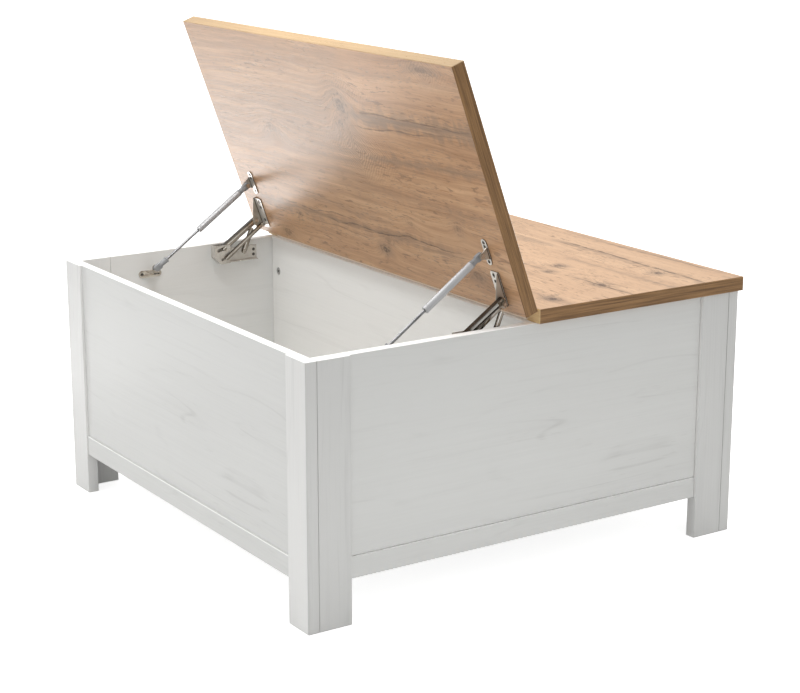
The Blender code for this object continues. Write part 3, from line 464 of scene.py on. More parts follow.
tree.links.new(flecks, result["Flecks"])
tree.links.new(fibres, result["Fibres"])
print("group:", oak_grain.name, len(oak_grain.nodes), "nodes")

# %% [markdown]
# Near a fork in the tree, the fibres lie in ripples, which cross the grain in a fan on both sides. A
# wave that is bent at the middle and fades outwards gives that curl.

# %% Curl group
curl, given, result = new_group(
    "curl",
    {"Vector": VECTOR, "Place": VECTOR, "Size": VECTOR},
    {"Ripple": NUMBER},
)
tree = curl
spot = use(tree, knot, Vector=given["Vector"], Place=given["Place"], Size=given["Size"])
away = steer(tree, "ABSOLUTE", steer(tree, "SUBTRACT", given["Vector"], given["Place"]))
parts = split(tree, away)
shiver = noise(tree, given["Vector"], 70.0, 2.0)["Fac"]
phase = reckon(tree, "MULTIPLY_ADD", parts["Y"], 760.0, reckon(tree, "MULTIPLY", parts["X"], 820.0))
phase = reckon(tree, "MULTIPLY_ADD", shiver, 14.0, phase)
wave = reckon(tree, "MULTIPLY", reckon(tree, "SINE", phase), spot["Hill"])
tree.links.new(wave, result["Ripple"])
print("group:", curl.name, len(curl.nodes), "nodes")

# %% [markdown]
# The oak's colours go from nearly black in a crack to cream on the upper face, where the cream is painted
# light that makes the upper face lighter than the underside. The edges are sawn through the layers, so
# they are striped: dark at the sides and paler in front. Where the edge of the fixed half looks into the
# open box it is palest, as painted light in the shade under the lid.

# %% Oak tones
OAK_DARK = (0.095, 0.052, 0.030)
OAK_GREY = (0.235, 0.160, 0.108)
OAK_FLECK = (0.215, 0.120, 0.066)
OAK_BROWN = (0.310, 0.162, 0.080)
OAK_MIDDLE = (0.510, 0.296, 0.160)
OAK_PALE = (0.700, 0.452, 0.264)
OAK_EDGE_DARK = (0.085, 0.040, 0.013)
OAK_EDGE_BROWN = (0.290, 0.160, 0.064)
OAK_FRONT_DARK = (0.290, 0.184, 0.088)
OAK_FRONT_PALE = (0.388, 0.266, 0.137)
OAK_INNER_DARK = (0.500, 0.345, 0.165)
OAK_INNER_PALE = (0.640, 0.460, 0.235)
OAK_GAP_LIT_DARK = (0.900, 0.800, 0.680)
OAK_GAP_LIT_PALE = (0.960, 0.880, 0.780)
# The cream is painted light on the upper face, and the gap tones above are painted light on the edge in the
# lid's shade.
OAK_LIT_CREAM = (0.820, 0.620, 0.430)
OAK_HALF = 0.450
OAK_MIDDLE_LEVEL = 0.460
UPPER_FACE_STEP, UPPER_FACE_LIGHT = 0.001, 0.24
REACH_FADE, ROOF_FADE = 0.01, 0.004
print("top:", 2 * OAK_HALF, "wide")

# %% [markdown]
# One function makes both halves from lists of what is on them. Its layers go from broad to fine: the
# figure of the grain, the painted light on the upper face, the dark bands, pores and flecks, then cracks
# and knots, and last the edges.

# %% Oak of one board


def make_oak(name, turn, shift, knots, cracks, bands, curls, end_edges):
    """Makes the oak of one board from lists of what is on it.

    Knots: X, Y, length, breadth, hill, darkness.
    Cracks and bands: start, end, level, lean, wave, width, depth.
    Curls: X, Y, length, breadth, strength.
    End edges: level, way out, reach to each side, roof, dark, pale.
    """
    material, tree, shader, grain = new_material(name, turn, shift)
    hills, cores, halos = 0.0, 0.0, 0.0
    for x, y, length, breadth, rise, dark in knots:
        spot = use(tree, knot, Vector=grain, Place=(x, y, 0.0), Size=(length, breadth, 1.0))
        hills = reckon(tree, "MULTIPLY_ADD", spot["Hill"], rise, hills)
        cores = reckon(tree, "MAXIMUM", reckon(tree, "MULTIPLY", spot["Core"], dark), cores)
        halos = reckon(tree, "MAXIMUM", reckon(tree, "MULTIPLY", spot["Halo"], dark), halos)

    def drawn(rows):
        marks = 0.0
        for *shape, depth in rows:
            mark = use(tree, crack, Vector=grain, **dict(zip(CRACK_SHAPE, shape)))["Mask"]
            marks = reckon(tree, "MAXIMUM", reckon(tree, "MULTIPLY", mark, depth), marks)
        return marks

    lines = drawn(cracks)
    figure = use(tree, oak_grain, Vector=grain, Hills=hills)
    tone = figure["Bands"]
    for x, y, length, breadth, strength in curls:
        ripple = use(tree, curl, Vector=grain, Place=(x, y, 0.0), Size=(length, breadth, 1.0))["Ripple"]
        tone = reckon(tree, "MULTIPLY_ADD", ripple, strength, tone)
    colour = ramp(tree, tone, [(0.26, OAK_BROWN), (0.50, OAK_MIDDLE), (0.74, OAK_PALE)])
    parts = split(tree, grain)
    reach = reckon(tree, "ABSOLUTE", parts["X"])
    # Painted light: above the board's middle the colour is laid over with cream, so the upper face is
    # lighter than the underside.
    low, high = OAK_MIDDLE_LEVEL - UPPER_FACE_STEP, OAK_MIDDLE_LEVEL + UPPER_FACE_STEP
    colour = blend_colours(tree, between(tree, parts["Z"], low, high, 0.0, UPPER_FACE_LIGHT), colour, OAK_LIT_CREAM)
    streaks = between(tree, figure["Bands"], 0.66, 0.36, 0.35, 1.25)
    shade = reckon(tree, "MAXIMUM", drawn(bands), reckon(tree, "MULTIPLY", halos, 0.8))
    colour = blend_colours(tree, reckon(tree, "MULTIPLY", shade, streaks), colour, OAK_GREY)
    colour = blend_colours(tree, reckon(tree, "MULTIPLY", figure["Pores"], 0.58), colour, OAK_GREY)
    colour = blend_colours(tree, reckon(tree, "MULTIPLY", figure["Flecks"], 0.72), colour, OAK_FLECK)
    colour = blend_colours(tree, reckon(tree, "MULTIPLY", lines, 0.85), colour, OAK_DARK)
    colour = blend_colours(tree, cores, colour, OAK_DARK)
    stripes = stretched_noise(tree, grain, (7.0, 7.0, 340.0), 5.0, 0.7)

    def striped(dark, pale):
        return ramp(tree, stripes, [(0.30, dark), (0.62, pale)])

    side = near_plane(tree, reach, OAK_HALF)
    colour = blend_colours(tree, side, colour, striped(OAK_EDGE_DARK, OAK_EDGE_BROWN))
    for level, way, limit, roof, dark, pale in end_edges:
        out = reckon(tree, "MULTIPLY", reckon(tree, "SUBTRACT", parts["Y"], level), way)
        mask = between(tree, reach, limit, limit - REACH_FADE)
        mask = reckon(tree, "MULTIPLY", between(tree, parts["Z"], roof, roof - ROOF_FADE), mask)
        mask = reckon(tree, "MULTIPLY", near_plane(tree, out, 0.0), mask)
        colour = blend_colours(tree, mask, colour, striped(dark, pale))
    tree.links.new(colour, shader.inputs["Base Color"])
    tree.links.new(between(tree, figure["Fibres"], 0.2, 0.8, 0.26, 0.38), shader.inputs["Roughness"])
    shader.inputs["Specular IOR Level"].default_value = 0.35
    dents = reckon(tree, "MULTIPLY_ADD", lines, -1.6, reckon(tree, "MULTIPLY", figure["Pores"], -0.6))
    dents = reckon(tree, "MULTIPLY_ADD", figure["Fibres"], 0.30, dents)
    press(tree, shader, dents, 0.00018)
    return material


print("oak ready to be made")

# %% [markdown]
# The figure of the lid lies where it does on the real board. The lists give places on the closed lid,
# so the lid's coordinates are swung back by the angle at which it stands open.

# %% Figure of the lid
LID_OPEN = math.radians(70)
POLE = Vector((0.0, -0.006, 0.472))
closing = Matrix.Rotation(LID_OPEN, 3, "X")
lid_shift = POLE - closing @ POLE
LID_KNOTS = [
    (0.058, -0.335, 0.040, 0.046, 0.040, 0.75),
    (0.040, -0.300, 0.030, 0.024, 0.024, 0.60),
    (-0.230, -0.257, 0.055, 0.030, 0.024, 0.46),
    (0.055, -0.054, 0.030, 0.020, 0.020, 0.85),
    (0.076, -0.078, 0.034, 0.018, 0.010, 0.40),
    (-0.235, -0.076, 0.020, 0.013, 0.012, 0.60),
    (-0.312, -0.022, 0.040, 0.022, 0.016, 0.55),
    (0.355, -0.434, 0.060, 0.016, 0.014, 0.50),
    (0.322, -0.145, 0.022, 0.024, 0.010, 0.42),
    (0.170, -0.128, 0.026, 0.016, 0.008, 0.30),
    (0.340, -0.060, 0.040, 0.024, 0.014, 0.40),
    (-0.300, -0.118, 0.016, 0.016, 0.008, 0.30),
]
LID_CRACKS = [
    (-0.320, 0.010, -0.096, -0.012, 0.016, 0.0017, 0.80),
    (-0.150, 0.340, -0.086, -0.024, 0.026, 0.0020, 0.90),
    (-0.190, 0.010, -0.132, 0.040, 0.010, 0.0016, 0.45),
    (-0.400, 0.050, -0.078, 0.022, 0.014, 0.0018, 0.50),
    (0.090, 0.480, -0.330, -0.016, 0.010, 0.0022, 0.70),
    (0.060, 0.380, -0.300, -0.050, 0.016, 0.0020, 0.80),
    (-0.140, 0.070, -0.333, 0.050, 0.010, 0.0016, 0.50),
    (0.280, 0.470, -0.318, -0.030, 0.008, 0.0020, 0.60),
]
LID_BANDS = [
    (-0.700, 0.140, -0.310, 0.000, 0.020, 0.330, 0.44),
    (0.020, 0.560, -0.322, -0.022, 0.014, 0.026, 0.70),
    (-0.520, 0.100, -0.340, 0.010, 0.020, 0.016, 0.50),
    (0.050, 0.560, -0.240, -0.055, 0.014, 0.013, 0.46),
    (-0.420, 0.360, -0.086, -0.006, 0.016, 0.022, 0.50),
    (-0.240, 0.140, -0.128, 0.040, 0.020, 0.020, 0.36),
    (-0.100, 0.560, -0.405, -0.010, 0.016, 0.012, 0.20),
    (0.000, 0.560, -0.178, 0.010, 0.020, 0.018, 0.22),
    (-0.560, 0.300, -0.028, 0.006, 0.020, 0.014, 0.08),
]
LID_CURLS = [
    (0.068, -0.252, 0.085, 0.040, 0.19),
    (0.100, -0.372, 0.060, 0.022, 0.09),
    (0.360, -0.432, 0.060, 0.018, 0.09),
]
lid_figure = (LID_KNOTS, LID_CRACKS, LID_BANDS, LID_CURLS)
print("lid:", len(LID_KNOTS), "knots,", len(LID_CRACKS), "cracks")

# %% [markdown]
# The fixed half is a calmer board. Its darkest knots are on the right, and two long cracks run out at
# its right edge.

# %% Figure of the fixed half
TOP_KNOTS = [
    (0.400, 0.065, 0.030, 0.022, 0.012, 1.00),
    (0.365, 0.200, 0.034, 0.022, 0.012, 0.90),
    (0.347, 0.342, 0.026, 0.024, 0.012, 1.00),
    (0.202, 0.230, 0.030, 0.022, 0.010, 0.85),
    (0.230, 0.187, 0.022, 0.018, 0.008, 0.75),
    (-0.080, 0.120, 0.040, 0.020, 0.016, 0.60),
    (-0.300, 0.310, 0.046, 0.024, 0.020, 0.70),
]
TOP_CRACKS = [
    (0.020, 0.500, 0.376, -0.040, 0.016, 0.0032, 1.00),
    (0.280, 0.500, 0.196, 0.000, 0.010, 0.0030, 1.00),
    (0.080, 0.250, 0.190, 0.010, 0.010, 0.0028, 0.60),
    (0.060, 0.420, 0.430, 0.020, 0.014, 0.0030, 0.65),
    (-0.440, 0.020, 0.330, 0.020, 0.020, 0.0018, 0.60),
    (-0.320, 0.060, 0.110, 0.015, 0.020, 0.0016, 0.55),
]
TOP_BANDS = [
    (-0.020, 0.560, 0.370, -0.030, 0.016, 0.018, 0.50),
    (0.240, 0.560, 0.198, 0.000, 0.012, 0.012, 0.40),
    (0.040, 0.280, 0.190, 0.010, 0.012, 0.012, 0.42),
    (0.120, 0.560, 0.287, 0.010, 0.012, 0.012, 0.36),
    (0.320, 0.560, 0.066, 0.000, 0.010, 0.012, 0.40),
    (-0.560, 0.100, 0.318, 0.020, 0.020, 0.020, 0.50),
    (-0.560, 0.120, 0.118, 0.010, 0.020, 0.016, 0.45),
    (-0.060, 0.480, 0.432, 0.015, 0.012, 0.010, 0.40),
]
TOP_CURLS = [(-0.190, 0.200, 0.080, 0.040, 0.10)]
top_figure = (TOP_KNOTS, TOP_CRACKS, TOP_BANDS, TOP_CURLS)
print("fixed half:", len(TOP_KNOTS), "knots,", len(TOP_CRACKS), "cracks")

# %% [markdown]
# Most edges are striped over their whole face. The palest strip, painted light on an edge that lies in the
# shade under the open lid, is only on the lower half of the fixed half's inner edge, between the side
# walls, so that the seam stays dark when the lid is closed.

# %% Oak materials
WHOLE_EDGE = (1.0, 1.0)
UNDER_LID = (0.420, 0.460)
lid_edges = [(-OAK_HALF, -1.0, *WHOLE_EDGE, OAK_FRONT_DARK, OAK_FRONT_PALE)]
top_edges = [
    (0.0, -1.0, *WHOLE_EDGE, OAK_INNER_DARK, OAK_INNER_PALE),
    # Painted light: the palest tones on the inner edge under the lid.
    (0.0, -1.0, *UNDER_LID, OAK_GAP_LIT_DARK, OAK_GAP_LIT_PALE),
    (OAK_HALF, 1.0, *WHOLE_EDGE, OAK_FRONT_DARK, OAK_FRONT_PALE),
]
oak_lid = make_oak("oak_lid", (LID_OPEN, 0.0, 0.0), lid_shift, *lid_figure, lid_edges)
oak_top = make_oak("oak_top", ALONG_X, STILL, *top_figure, top_edges)
print("materials:", oak_lid.name, oak_top.name)

# %% [markdown]
# ## Metal and plastic of the hinges and struts
# The hinges are pressed from nickel-plated sheet, which is bright but never quite even: the plating is
# cloudy, and rolling the sheet leaves fine lines. One group gives both, and each metal sets its own
# colours from them.

# %% Worked metal group
worked_metal, given, result = new_group(
    "worked_metal",
    {"Vector": VECTOR},
    {"Clouds": NUMBER, "Lines": NUMBER},
)
tree = worked_metal
clouds = stretched_noise(tree, given["Vector"], (36.0, 36.0, 36.0), 2.0)
tree.links.new(clouds, result["Clouds"])
tree.links.new(stretched_noise(tree, given["Vector"], (2400.0, 160.0, 160.0), 2.0), result["Lines"])
print("group:", worked_metal.name)

# %% [markdown]
# A metal is given a dark and a bright tone, how smooth and how dull it is, and how much of a mirror.
# Plating over a satin ground mirrors less than a polished rod, so most of them aren't metal through and
# through.

# %% Metal materials


def make_metal(name, dark, bright, smooth, dull, metallic=1.0, turn=STILL, shift=STILL, marks=None):
    """Marks, if any, is a function that puts lines over the colour."""
    material, tree, shader, grain = new_material(name, turn, shift)
    finish = use(tree, worked_metal, Vector=grain)
    colour = ramp(tree, finish["Clouds"], [(0.3, dark), (0.7, bright)])
    if marks:
        colour = marks(tree, grain, colour)
    tree.links.new(colour, shader.inputs["Base Color"])
    rough = reckon(tree, "SUBTRACT", finish["Lines"], 0.5)
    rough = reckon(tree, "MULTIPLY_ADD", rough, 0.15, finish["Clouds"])
    tree.links.new(between(tree, rough, 0.3, 0.7, smooth, dull), shader.inputs["Roughness"])
    shader.inputs["Metallic"].default_value = metallic
    press(tree, shader, finish["Lines"], 0.000004)
    return material


nickel = make_metal("nickel_plate", (0.420, 0.375, 0.315), (0.620, 0.575, 0.510), 0.10, 0.20, 0.8)
nickel_base = make_metal("nickel_base", (0.500, 0.470, 0.420), (0.680, 0.655, 0.610), 0.16, 0.28, 0.4)
# The screw heads are near black: painted shade that stands for the shade in their cross recesses.
screw_shaded_steel = make_metal("screw_shaded_steel", (0.050, 0.046, 0.040), (0.090, 0.084, 0.075), 0.45, 0.60, 0.3)
spring_steel = make_metal("spring_steel", (0.660, 0.640, 0.610), (0.860, 0.840, 0.810), 0.20, 0.36, 0.5)
rod_steel = make_metal("polished_rod", (0.170, 0.170, 0.173), (0.260, 0.260, 0.265), 0.16, 0.26)
satin_cylinder = make_metal("satin_cylinder", (0.370, 0.372, 0.378), (0.430, 0.432, 0.440), 0.34, 0.42, 0.2)
cam_zinc = make_metal("cam_zinc", (0.430, 0.430, 0.430), (0.600, 0.600, 0.590), 0.38, 0.55)
print("metals:", nickel.name, screw_shaded_steel.name, rod_steel.name)

# %% [markdown]
# Where sheet is folded it mirrors the dark of the box, and its crown mirrors the light. On arms as narrow
# as these that shows as dark edges with a bright line along the crown. The shapes alone give it from few
# sides, so these reflections are also painted on by place: painted shade on the edges and a painted
# highlight along the crown of each arm, and a painted shadow line at the foot of each lid bracket, whose
# plate gets a painted highlight.

# %% Folded metal
METAL_PAINTED_SHADE = (0.030, 0.026, 0.022)
METAL_PAINTED_HIGHLIGHT = (0.930, 0.910, 0.870)
PLATE_FACE, PLATE_SKIN, PLATE_CLEAR = 0.4466, 0.0001, 0.0004
FOLD_FOOT, FOLD_FULL = 0.4434, 0.4448
EDGE_IN, EDGE_OUT = 0.68, 0.92
CROWN, CROWN_NARROW, CROWN_WIDE = 0.22, 0.08, 0.24
ARM_TONES = ((0.240, 0.200, 0.160), (0.420, 0.375, 0.320), 0.10, 0.22)
LID_TONES = ((0.340, 0.300, 0.250), (0.520, 0.480, 0.420), 0.28, 0.40, 0.6)
UPPER_ARM = ((0.0, -0.0947, 0.4588), math.radians(33.8), 0.0056)
LOWER_ARM = ((0.0, -0.0924, 0.4411), math.radians(36.3), 0.0042)
SHORT_LINK = ((0.0, -0.0657, 0.4463), math.radians(67.9), 0.0050)


def painted_fold_and_plate(tree, grain, colour):
    """A painted shadow line in the fold at a lid bracket's foot and on its plate's cut edge, and a painted
    highlight on the plate.
    """
    level = split(tree, grain)["Z"]
    away = reckon(tree, "ABSOLUTE", reckon(tree, "SUBTRACT", level, PLATE_FACE))
    # Painted highlight on the plate's face.
    plate = between(tree, away, PLATE_CLEAR, PLATE_SKIN, 0.0, 0.7)
    colour = blend_colours(tree, plate, colour, METAL_PAINTED_HIGHLIGHT)
    # Painted shadow line in the fold and on the plate's cut edge.
    line = between(tree, away, PLATE_SKIN, PLATE_CLEAR, 0.0, 0.8)
    line = reckon(tree, "MULTIPLY", between(tree, level, FOLD_FOOT, FOLD_FULL), line)
    return blend_colours(tree, line, colour, METAL_PAINTED_SHADE)


def make_arm(name, middle, tilt, half):
    """A pressed arm, with painted shade on its edges and a painted highlight along its crown.

    Middle is a point on its middle line, and half is half its width.
    """

    def edges(tree, grain, colour):
        across = split(tree, grain)["Z"]
        edge = reckon(tree, "ABSOLUTE", across)
        edge = between(tree, edge, half * EDGE_IN, half * EDGE_OUT, 0.0, 0.82)
        crown = reckon(tree, "ABSOLUTE", reckon(tree, "SUBTRACT", across, half * CROWN))
        crown = between(tree, crown, half * CROWN_WIDE, half * CROWN_NARROW, 0.0, 0.9)
        # Painted highlight along the crown, then painted shade on the edges.
        colour = blend_colours(tree, crown, colour, METAL_PAINTED_HIGHLIGHT)
        return blend_colours(tree, edge, colour, METAL_PAINTED_SHADE)

    level = Matrix.Rotation(-tilt, 3, "X")
    shift = -(level @ Vector(middle))
    return make_metal(name, *ARM_TONES, turn=(-tilt, 0.0, 0.0), shift=shift, marks=edges)


nickel_lid = make_metal("nickel_lid", *LID_TONES, (LID_OPEN, 0.0, 0.0), lid_shift, painted_fold_and_plate)
upper_arm = make_arm("nickel_upper_arm", *UPPER_ARM)
lower_arm = make_arm("nickel_lower_arm", *LOWER_ARM)
short_link = make_arm("nickel_short_link", *SHORT_LINK)
print("folded metal:", nickel_lid.name, upper_arm.name, lower_arm.name, short_link.name)

# %% [markdown]
# The end fittings of the struts are moulded in grey plastic, which is even in colour and has a fine grit.

# %% Plastic material


def make_plastic(name, dark, bright):
    """A moulded plastic with a faint haze and a fine grit."""
    material, tree, shader, grain = new_material(name)
    grit = noise(tree, grain, 900.0, 2.0)["Fac"]
    haze = noise(tree, grain, 60.0, 2.0)["Fac"]
    tree.links.new(ramp(tree, haze, [(0.3, dark), (0.7, bright)]), shader.inputs["Base Color"])
    tree.links.new(between(tree, grit, 0.3, 0.7, 0.42, 0.58), shader.inputs["Roughness"])
    press(tree, shader, grit, 0.00004)
    return material


grey_plastic = make_plastic("grey_plastic", (0.225, 0.232, 0.240), (0.300, 0.308, 0.318))
print("plastic:", grey_plastic.name)

# %% [markdown]
# ## Finishes on the CAD pieces
# Each piece of the frame keeps its shape and takes a finish by its name. The grain of a panel or rail
# runs along it, and the grain of a leg runs up it.

# %% Dress the frame
FINISHES = [
    ("leg_", pine_legs),
    ("panel_left", pine_y),
    ("panel_right", pine_y),
    ("rail_left", pine_y),
    ("rail_right", pine_y),
    ("panel_", pine_x),
    ("rail_", pine_x),
    ("partition", pine_x),
    ("floor", pine_x),
    ("top_fixed", oak_top),
    ("lid", oak_lid),
    ("cam_", cam_zinc),
]
HARDWARE = [
    ("_base", nickel_base),
    ("_lid_bracket", nickel_lid),
    ("_upper_arm", upper_arm),
    ("_lower_arm", lower_arm),
    ("_short_link", short_link),
    ("_spring", spring_steel),
    ("_cylinder_end", grey_plastic),
    ("_rod_end", grey_plastic),
    ("_cylinder", satin_cylinder),
    ("_rod", rod_steel),
]


def finish_for(name):
    """The finish of a piece, by the end of its name or else by its start."""
    for ending, material in HARDWARE:
        if name.endswith(ending):
            return material
    for start, material in FINISHES:
        if name.startswith(start):
            return material
    return nickel


for name, node in nodes.items():
    node.data.materials.clear()
    node.data.materials.append(finish_for(name))
print("dressed:", len(nodes), "pieces")

# %% [markdown]
# ## Screws
# Every bracket is held by flat-headed screws with a cross recess. They are modelled as by hand, from a
# cylinder or a block, and three helpers do what all new pieces need: to start a round piece, to choose
# faces by the way they look, and to cut or join two pieces.

# %% Modelling helpers
FACING = 0.9


def looks_up(normal):
    return normal.z > FACING


def looks_down(normal):
    return normal.z < -FACING


def pick_faces(piece, rule):
    """Selects the faces whose normal fits a rule."""
    bpy.ops.mesh.select_mode(type="FACE")
    bpy.ops.mesh.select_all(action="DESELECT")
    shape = bmesh.from_edit_mesh(piece.data)
    for face in shape.faces:
        face.select_set(rule(face.normal))
    bmesh.update_edit_mesh(piece.data)


def start_round(name, sides, radius, depth, place, turn=STILL):
    """A cylinder, as the start of a turned piece, left in edit mode."""
    bpy.ops.object.select_all(action="DESELECT")
    size = {"vertices": sides, "radius": radius, "depth": depth}
    bpy.ops.mesh.primitive_cylinder_add(**size, location=place, rotation=turn)
    piece = bpy.context.object
    piece.name = name
    bpy.ops.object.transform_apply(location=True, rotation=True, scale=True)
    bpy.ops.object.mode_set(mode="EDIT")
    return piece


def combine(piece, other, operation="DIFFERENCE"):
    """Cuts one piece out of another or joins it on, and clears it away."""
    bpy.ops.object.select_all(action="DESELECT")
    bpy.context.view_layer.objects.active = piece
    piece.select_set(True)
    change = piece.modifiers.new("change", "BOOLEAN")
    change.operation = operation
    change.solver = "EXACT"
    change.object = other
    bpy.ops.object.modifier_apply(modifier=change.name)
    bpy.data.objects.remove(other)


print("modelling helpers ready")

# %% [markdown]
# A cylinder of the head's size is a good start: its top is inset twice for a low dome, its underside is
# drawn out into the shank, and the cross is cut with a thin block, once each way. One screw is modelled
# and then copied into every hole.

# %% Model one screw
HEAD_RADIUS, HEAD_HEIGHT = 0.0031, 0.0003
DOME_STEPS = [(0.0005, 0.0001), (0.0008, 0.00005)]
HEAD_OVERHANG, SHANK_LENGTH = 0.0012, 0.0016
RECESS = (0.0030, 0.0007, 0.0012)
SMOOTH_BELOW = math.radians(30)
screw = start_round("screw", 24, HEAD_RADIUS, HEAD_HEIGHT, (0, 0, HEAD_HEIGHT / 2))
pick_faces(screw, looks_up)
for inset, rise in DOME_STEPS:
    bpy.ops.mesh.inset(thickness=inset, depth=rise)
pick_faces(screw, looks_down)
bpy.ops.mesh.inset(thickness=HEAD_OVERHANG, depth=0.0)
bpy.ops.mesh.extrude_region_move(TRANSFORM_OT_translate={"value": (0, 0, -SHANK_LENGTH)})
bpy.ops.object.mode_set(mode="OBJECT")
for turn in (math.radians(45), math.radians(135)):
    bpy.ops.object.select_all(action="DESELECT")
    bpy.ops.mesh.primitive_cube_add(size=1.0, location=(0, 0, HEAD_HEIGHT), rotation=(0, 0, turn))
    blade = bpy.context.object
    blade.scale = RECESS
    bpy.ops.object.transform_apply(location=True, rotation=True, scale=True)
    combine(screw, blade)
bpy.ops.object.shade_smooth_by_angle(angle=SMOOTH_BELOW)
print("screw:", len(screw.data.polygons), "faces")

# %% [markdown]
# The heads on the walls look into the box, and the ones under the lid look down from it, so each copy is
# first turned and then carried to its hole. The holes under the lid are known for a closed lid, and
# swing up with it about the point that the lid turns on. No two screws are driven home alike, so each
# cross is twisted a little further than the last.

# %% Copy the screws into the holes
SIDES = (("left", -1), ("right", 1))
WALL = 0.423
PLATE = 0.0019
LID_UNDERSIDE = 0.4485
WALL_TWIST, LID_TWIST = 0.7, 1.1
WALL_HOLES = {
    "hinge_base": [(-0.0520, 0.41732), (-0.0520, 0.42732)],
    "strut_wall": [(-0.29752, 0.4050), (-0.26952, 0.4050), (-0.26252, 0.4050)],
}
LID_HOLES = {
    "hinge_lid": (0.0305, [-0.0736, -0.0621, -0.0346]),
    "strut_lid": (0.0317, [-0.1335, -0.1265, -0.0985]),
}
swing = Matrix.Translation(POLE) @ Matrix.Rotation(-LID_OPEN, 4, "X") @ Matrix.Translation(-POLE)


def facing_in(side):
    """Turns a piece that points up so that it points from a side wall into the box."""
    return Matrix.Rotation(-side * math.radians(90), 4, "Y")


def set_copy(pattern, name, place, body):
    """A copy with its own mesh, carried to its place, that rides on a body."""
    piece = bpy.data.objects.new(name, pattern.data.copy())
    piece.data.transform(place)
    bpy.context.scene.collection.objects.link(piece)
    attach(piece, body)
    return piece


downward = Matrix.Rotation(math.radians(180), 4, "X")
screw.data.materials.append(screw_shaded_steel)
count = 0
for side_name, side in SIDES:
    for group, holes in WALL_HOLES.items():
        for number, (y, z) in enumerate(holes, 1):
            twist = Matrix.Rotation(WALL_TWIST * number + side, 4, "Z")
            place = Matrix.Translation((side * (WALL - PLATE), y, z)) @ facing_in(side) @ twist
            set_copy(screw, f"screw_{group}_{side_name}_{number}", place, "body")
            count += 1
    for group, (depth, holes) in LID_HOLES.items():
        for number, y in enumerate(holes, 1):
            twist = Matrix.Rotation(LID_TWIST * number + side, 4, "Z")
            place = Matrix.Translation((side * (WALL - depth), y, LID_UNDERSIDE - PLATE))
            set_copy(screw, f"screw_{group}_{side_name}_{number}", swing @ place @ downward @ twist, "lid")
            count += 1
bpy.data.objects.remove(screw)
print("screws:", count)

# %% [markdown]
# ## Rosette rivets
# The short link turns on a rivet whose end is spread in a rosette. It is a low drum with six bites out
# of its rim and a dimple in its middle, on the same shank as the CAD pin, which it stands for.

# %% Model the rosette rivet
LINK_PIVOT = (-0.0740, 0.4260)
PIN_START, HEAD_START, HEAD_END = 0.0006, 0.0047, 0.0058
ROSETTE_RADIUS, ROSETTE_OVERHANG = 0.0042, 0.0017
DIMPLE_STEPS = [(0.0008, 0.0), (0.0014, 0.0), (0.0005, -0.0005)]
BITES, BITE_CIRCLE, BITE_RADIUS, BITE_DEPTH = 6, 0.0045, 0.0011, 0.004
middle = (0, 0, (HEAD_START + HEAD_END) / 2)
rosette = start_round("rosette", 30, ROSETTE_RADIUS, HEAD_END - HEAD_START, middle)
pick_faces(rosette, looks_up)
for inset, rise in DIMPLE_STEPS:
    bpy.ops.mesh.inset(thickness=inset, depth=rise)
pick_faces(rosette, looks_down)
bpy.ops.mesh.inset(thickness=ROSETTE_OVERHANG, depth=0.0)
bpy.ops.mesh.extrude_region_move(TRANSFORM_OT_translate={"value": (0, 0, PIN_START - HEAD_START)})
bpy.ops.object.mode_set(mode="OBJECT")
for step in range(BITES):
    angle = math.radians(360 / BITES * step)
    place = (BITE_CIRCLE * math.cos(angle), BITE_CIRCLE * math.sin(angle), HEAD_START)
    bite = start_round("bite", 12, BITE_RADIUS, BITE_DEPTH, place)
    bpy.ops.object.mode_set(mode="OBJECT")
    combine(rosette, bite)
bpy.ops.object.shade_smooth_by_angle(angle=SMOOTH_BELOW)
rosette.data.materials.append(nickel)
for side_name, side in SIDES:
    place = Matrix.Translation((side * WALL, *LINK_PIVOT)) @ facing_in(side)
    rivet = set_copy(rosette, f"rosette_{side_name}", place, "body")
    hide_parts(f"hinge_{side_name}_link_pin")
bpy.data.objects.remove(rosette)
print("rosettes: 2")

# %% [markdown]
# ## Wall brackets of the struts
# Each strut ends at a tab that stands on a small shelf, folded from the upper edge of a plate with two
# round ears. The plate starts as a cylinder, half of which is moved along to make a long round-ended
# bar. The shelf, the tab and the rivet are joined on, the screw holes are cut, and a fine bevel on every
# edge catches the light as pressed sheet does. It stands for the plainer bracket of the CAD.

# %% Bracket sizes and helpers
STRUT_PIN = (-0.28002, 0.4210)
EAR_LEVEL, EAR_RADIUS, EAR_REACH = 0.4050, 0.0070, 0.0170
PLATE_NEAR, SHEET = 0.0003, 0.0016
SHELF_TOP, SHELF_NEAR, SHELF_HALF = EAR_LEVEL + EAR_RADIUS, 0.0010, 0.0095
TAB_NEAR, TAB_FAR, TAB_HALF, TAB_RADIUS = 0.0239, 0.0255, 0.0056, 0.0058
RIVET_RADIUS, RIVET_OUT, RIVET_IN = 0.0042, 0.0011, 0.0008
HOLE_RADIUS, HOLE_START, HOLE_END = 0.0022, -0.001, 0.004
SINK, OVERLAP, HAIR = 0.0001, 0.0010, 0.00001
SOFT_EDGE, SHARP = 0.00025, math.radians(40)
ACROSS = (0.0, math.radians(90), 0.0)


def block(low, high):
    """A block between two corners."""
    low, high = Vector(low), Vector(high)
    bpy.ops.object.select_all(action="DESELECT")
    bpy.ops.mesh.primitive_cube_add(size=1.0, location=(low + high) / 2)
    piece = bpy.context.object
    piece.scale = [abs(size) for size in high - low]
    bpy.ops.object.transform_apply(location=True, rotation=True, scale=True)
    return piece


def drum(side, radius, near, far, y, z):
    """A drum that lies across the wall, between two distances from it."""
    place = (side * (WALL - (near + far) / 2), y, z)
    piece = start_round("drum", 32, radius, far - near, place, ACROSS)
    bpy.ops.object.mode_set(mode="OBJECT")
    return piece


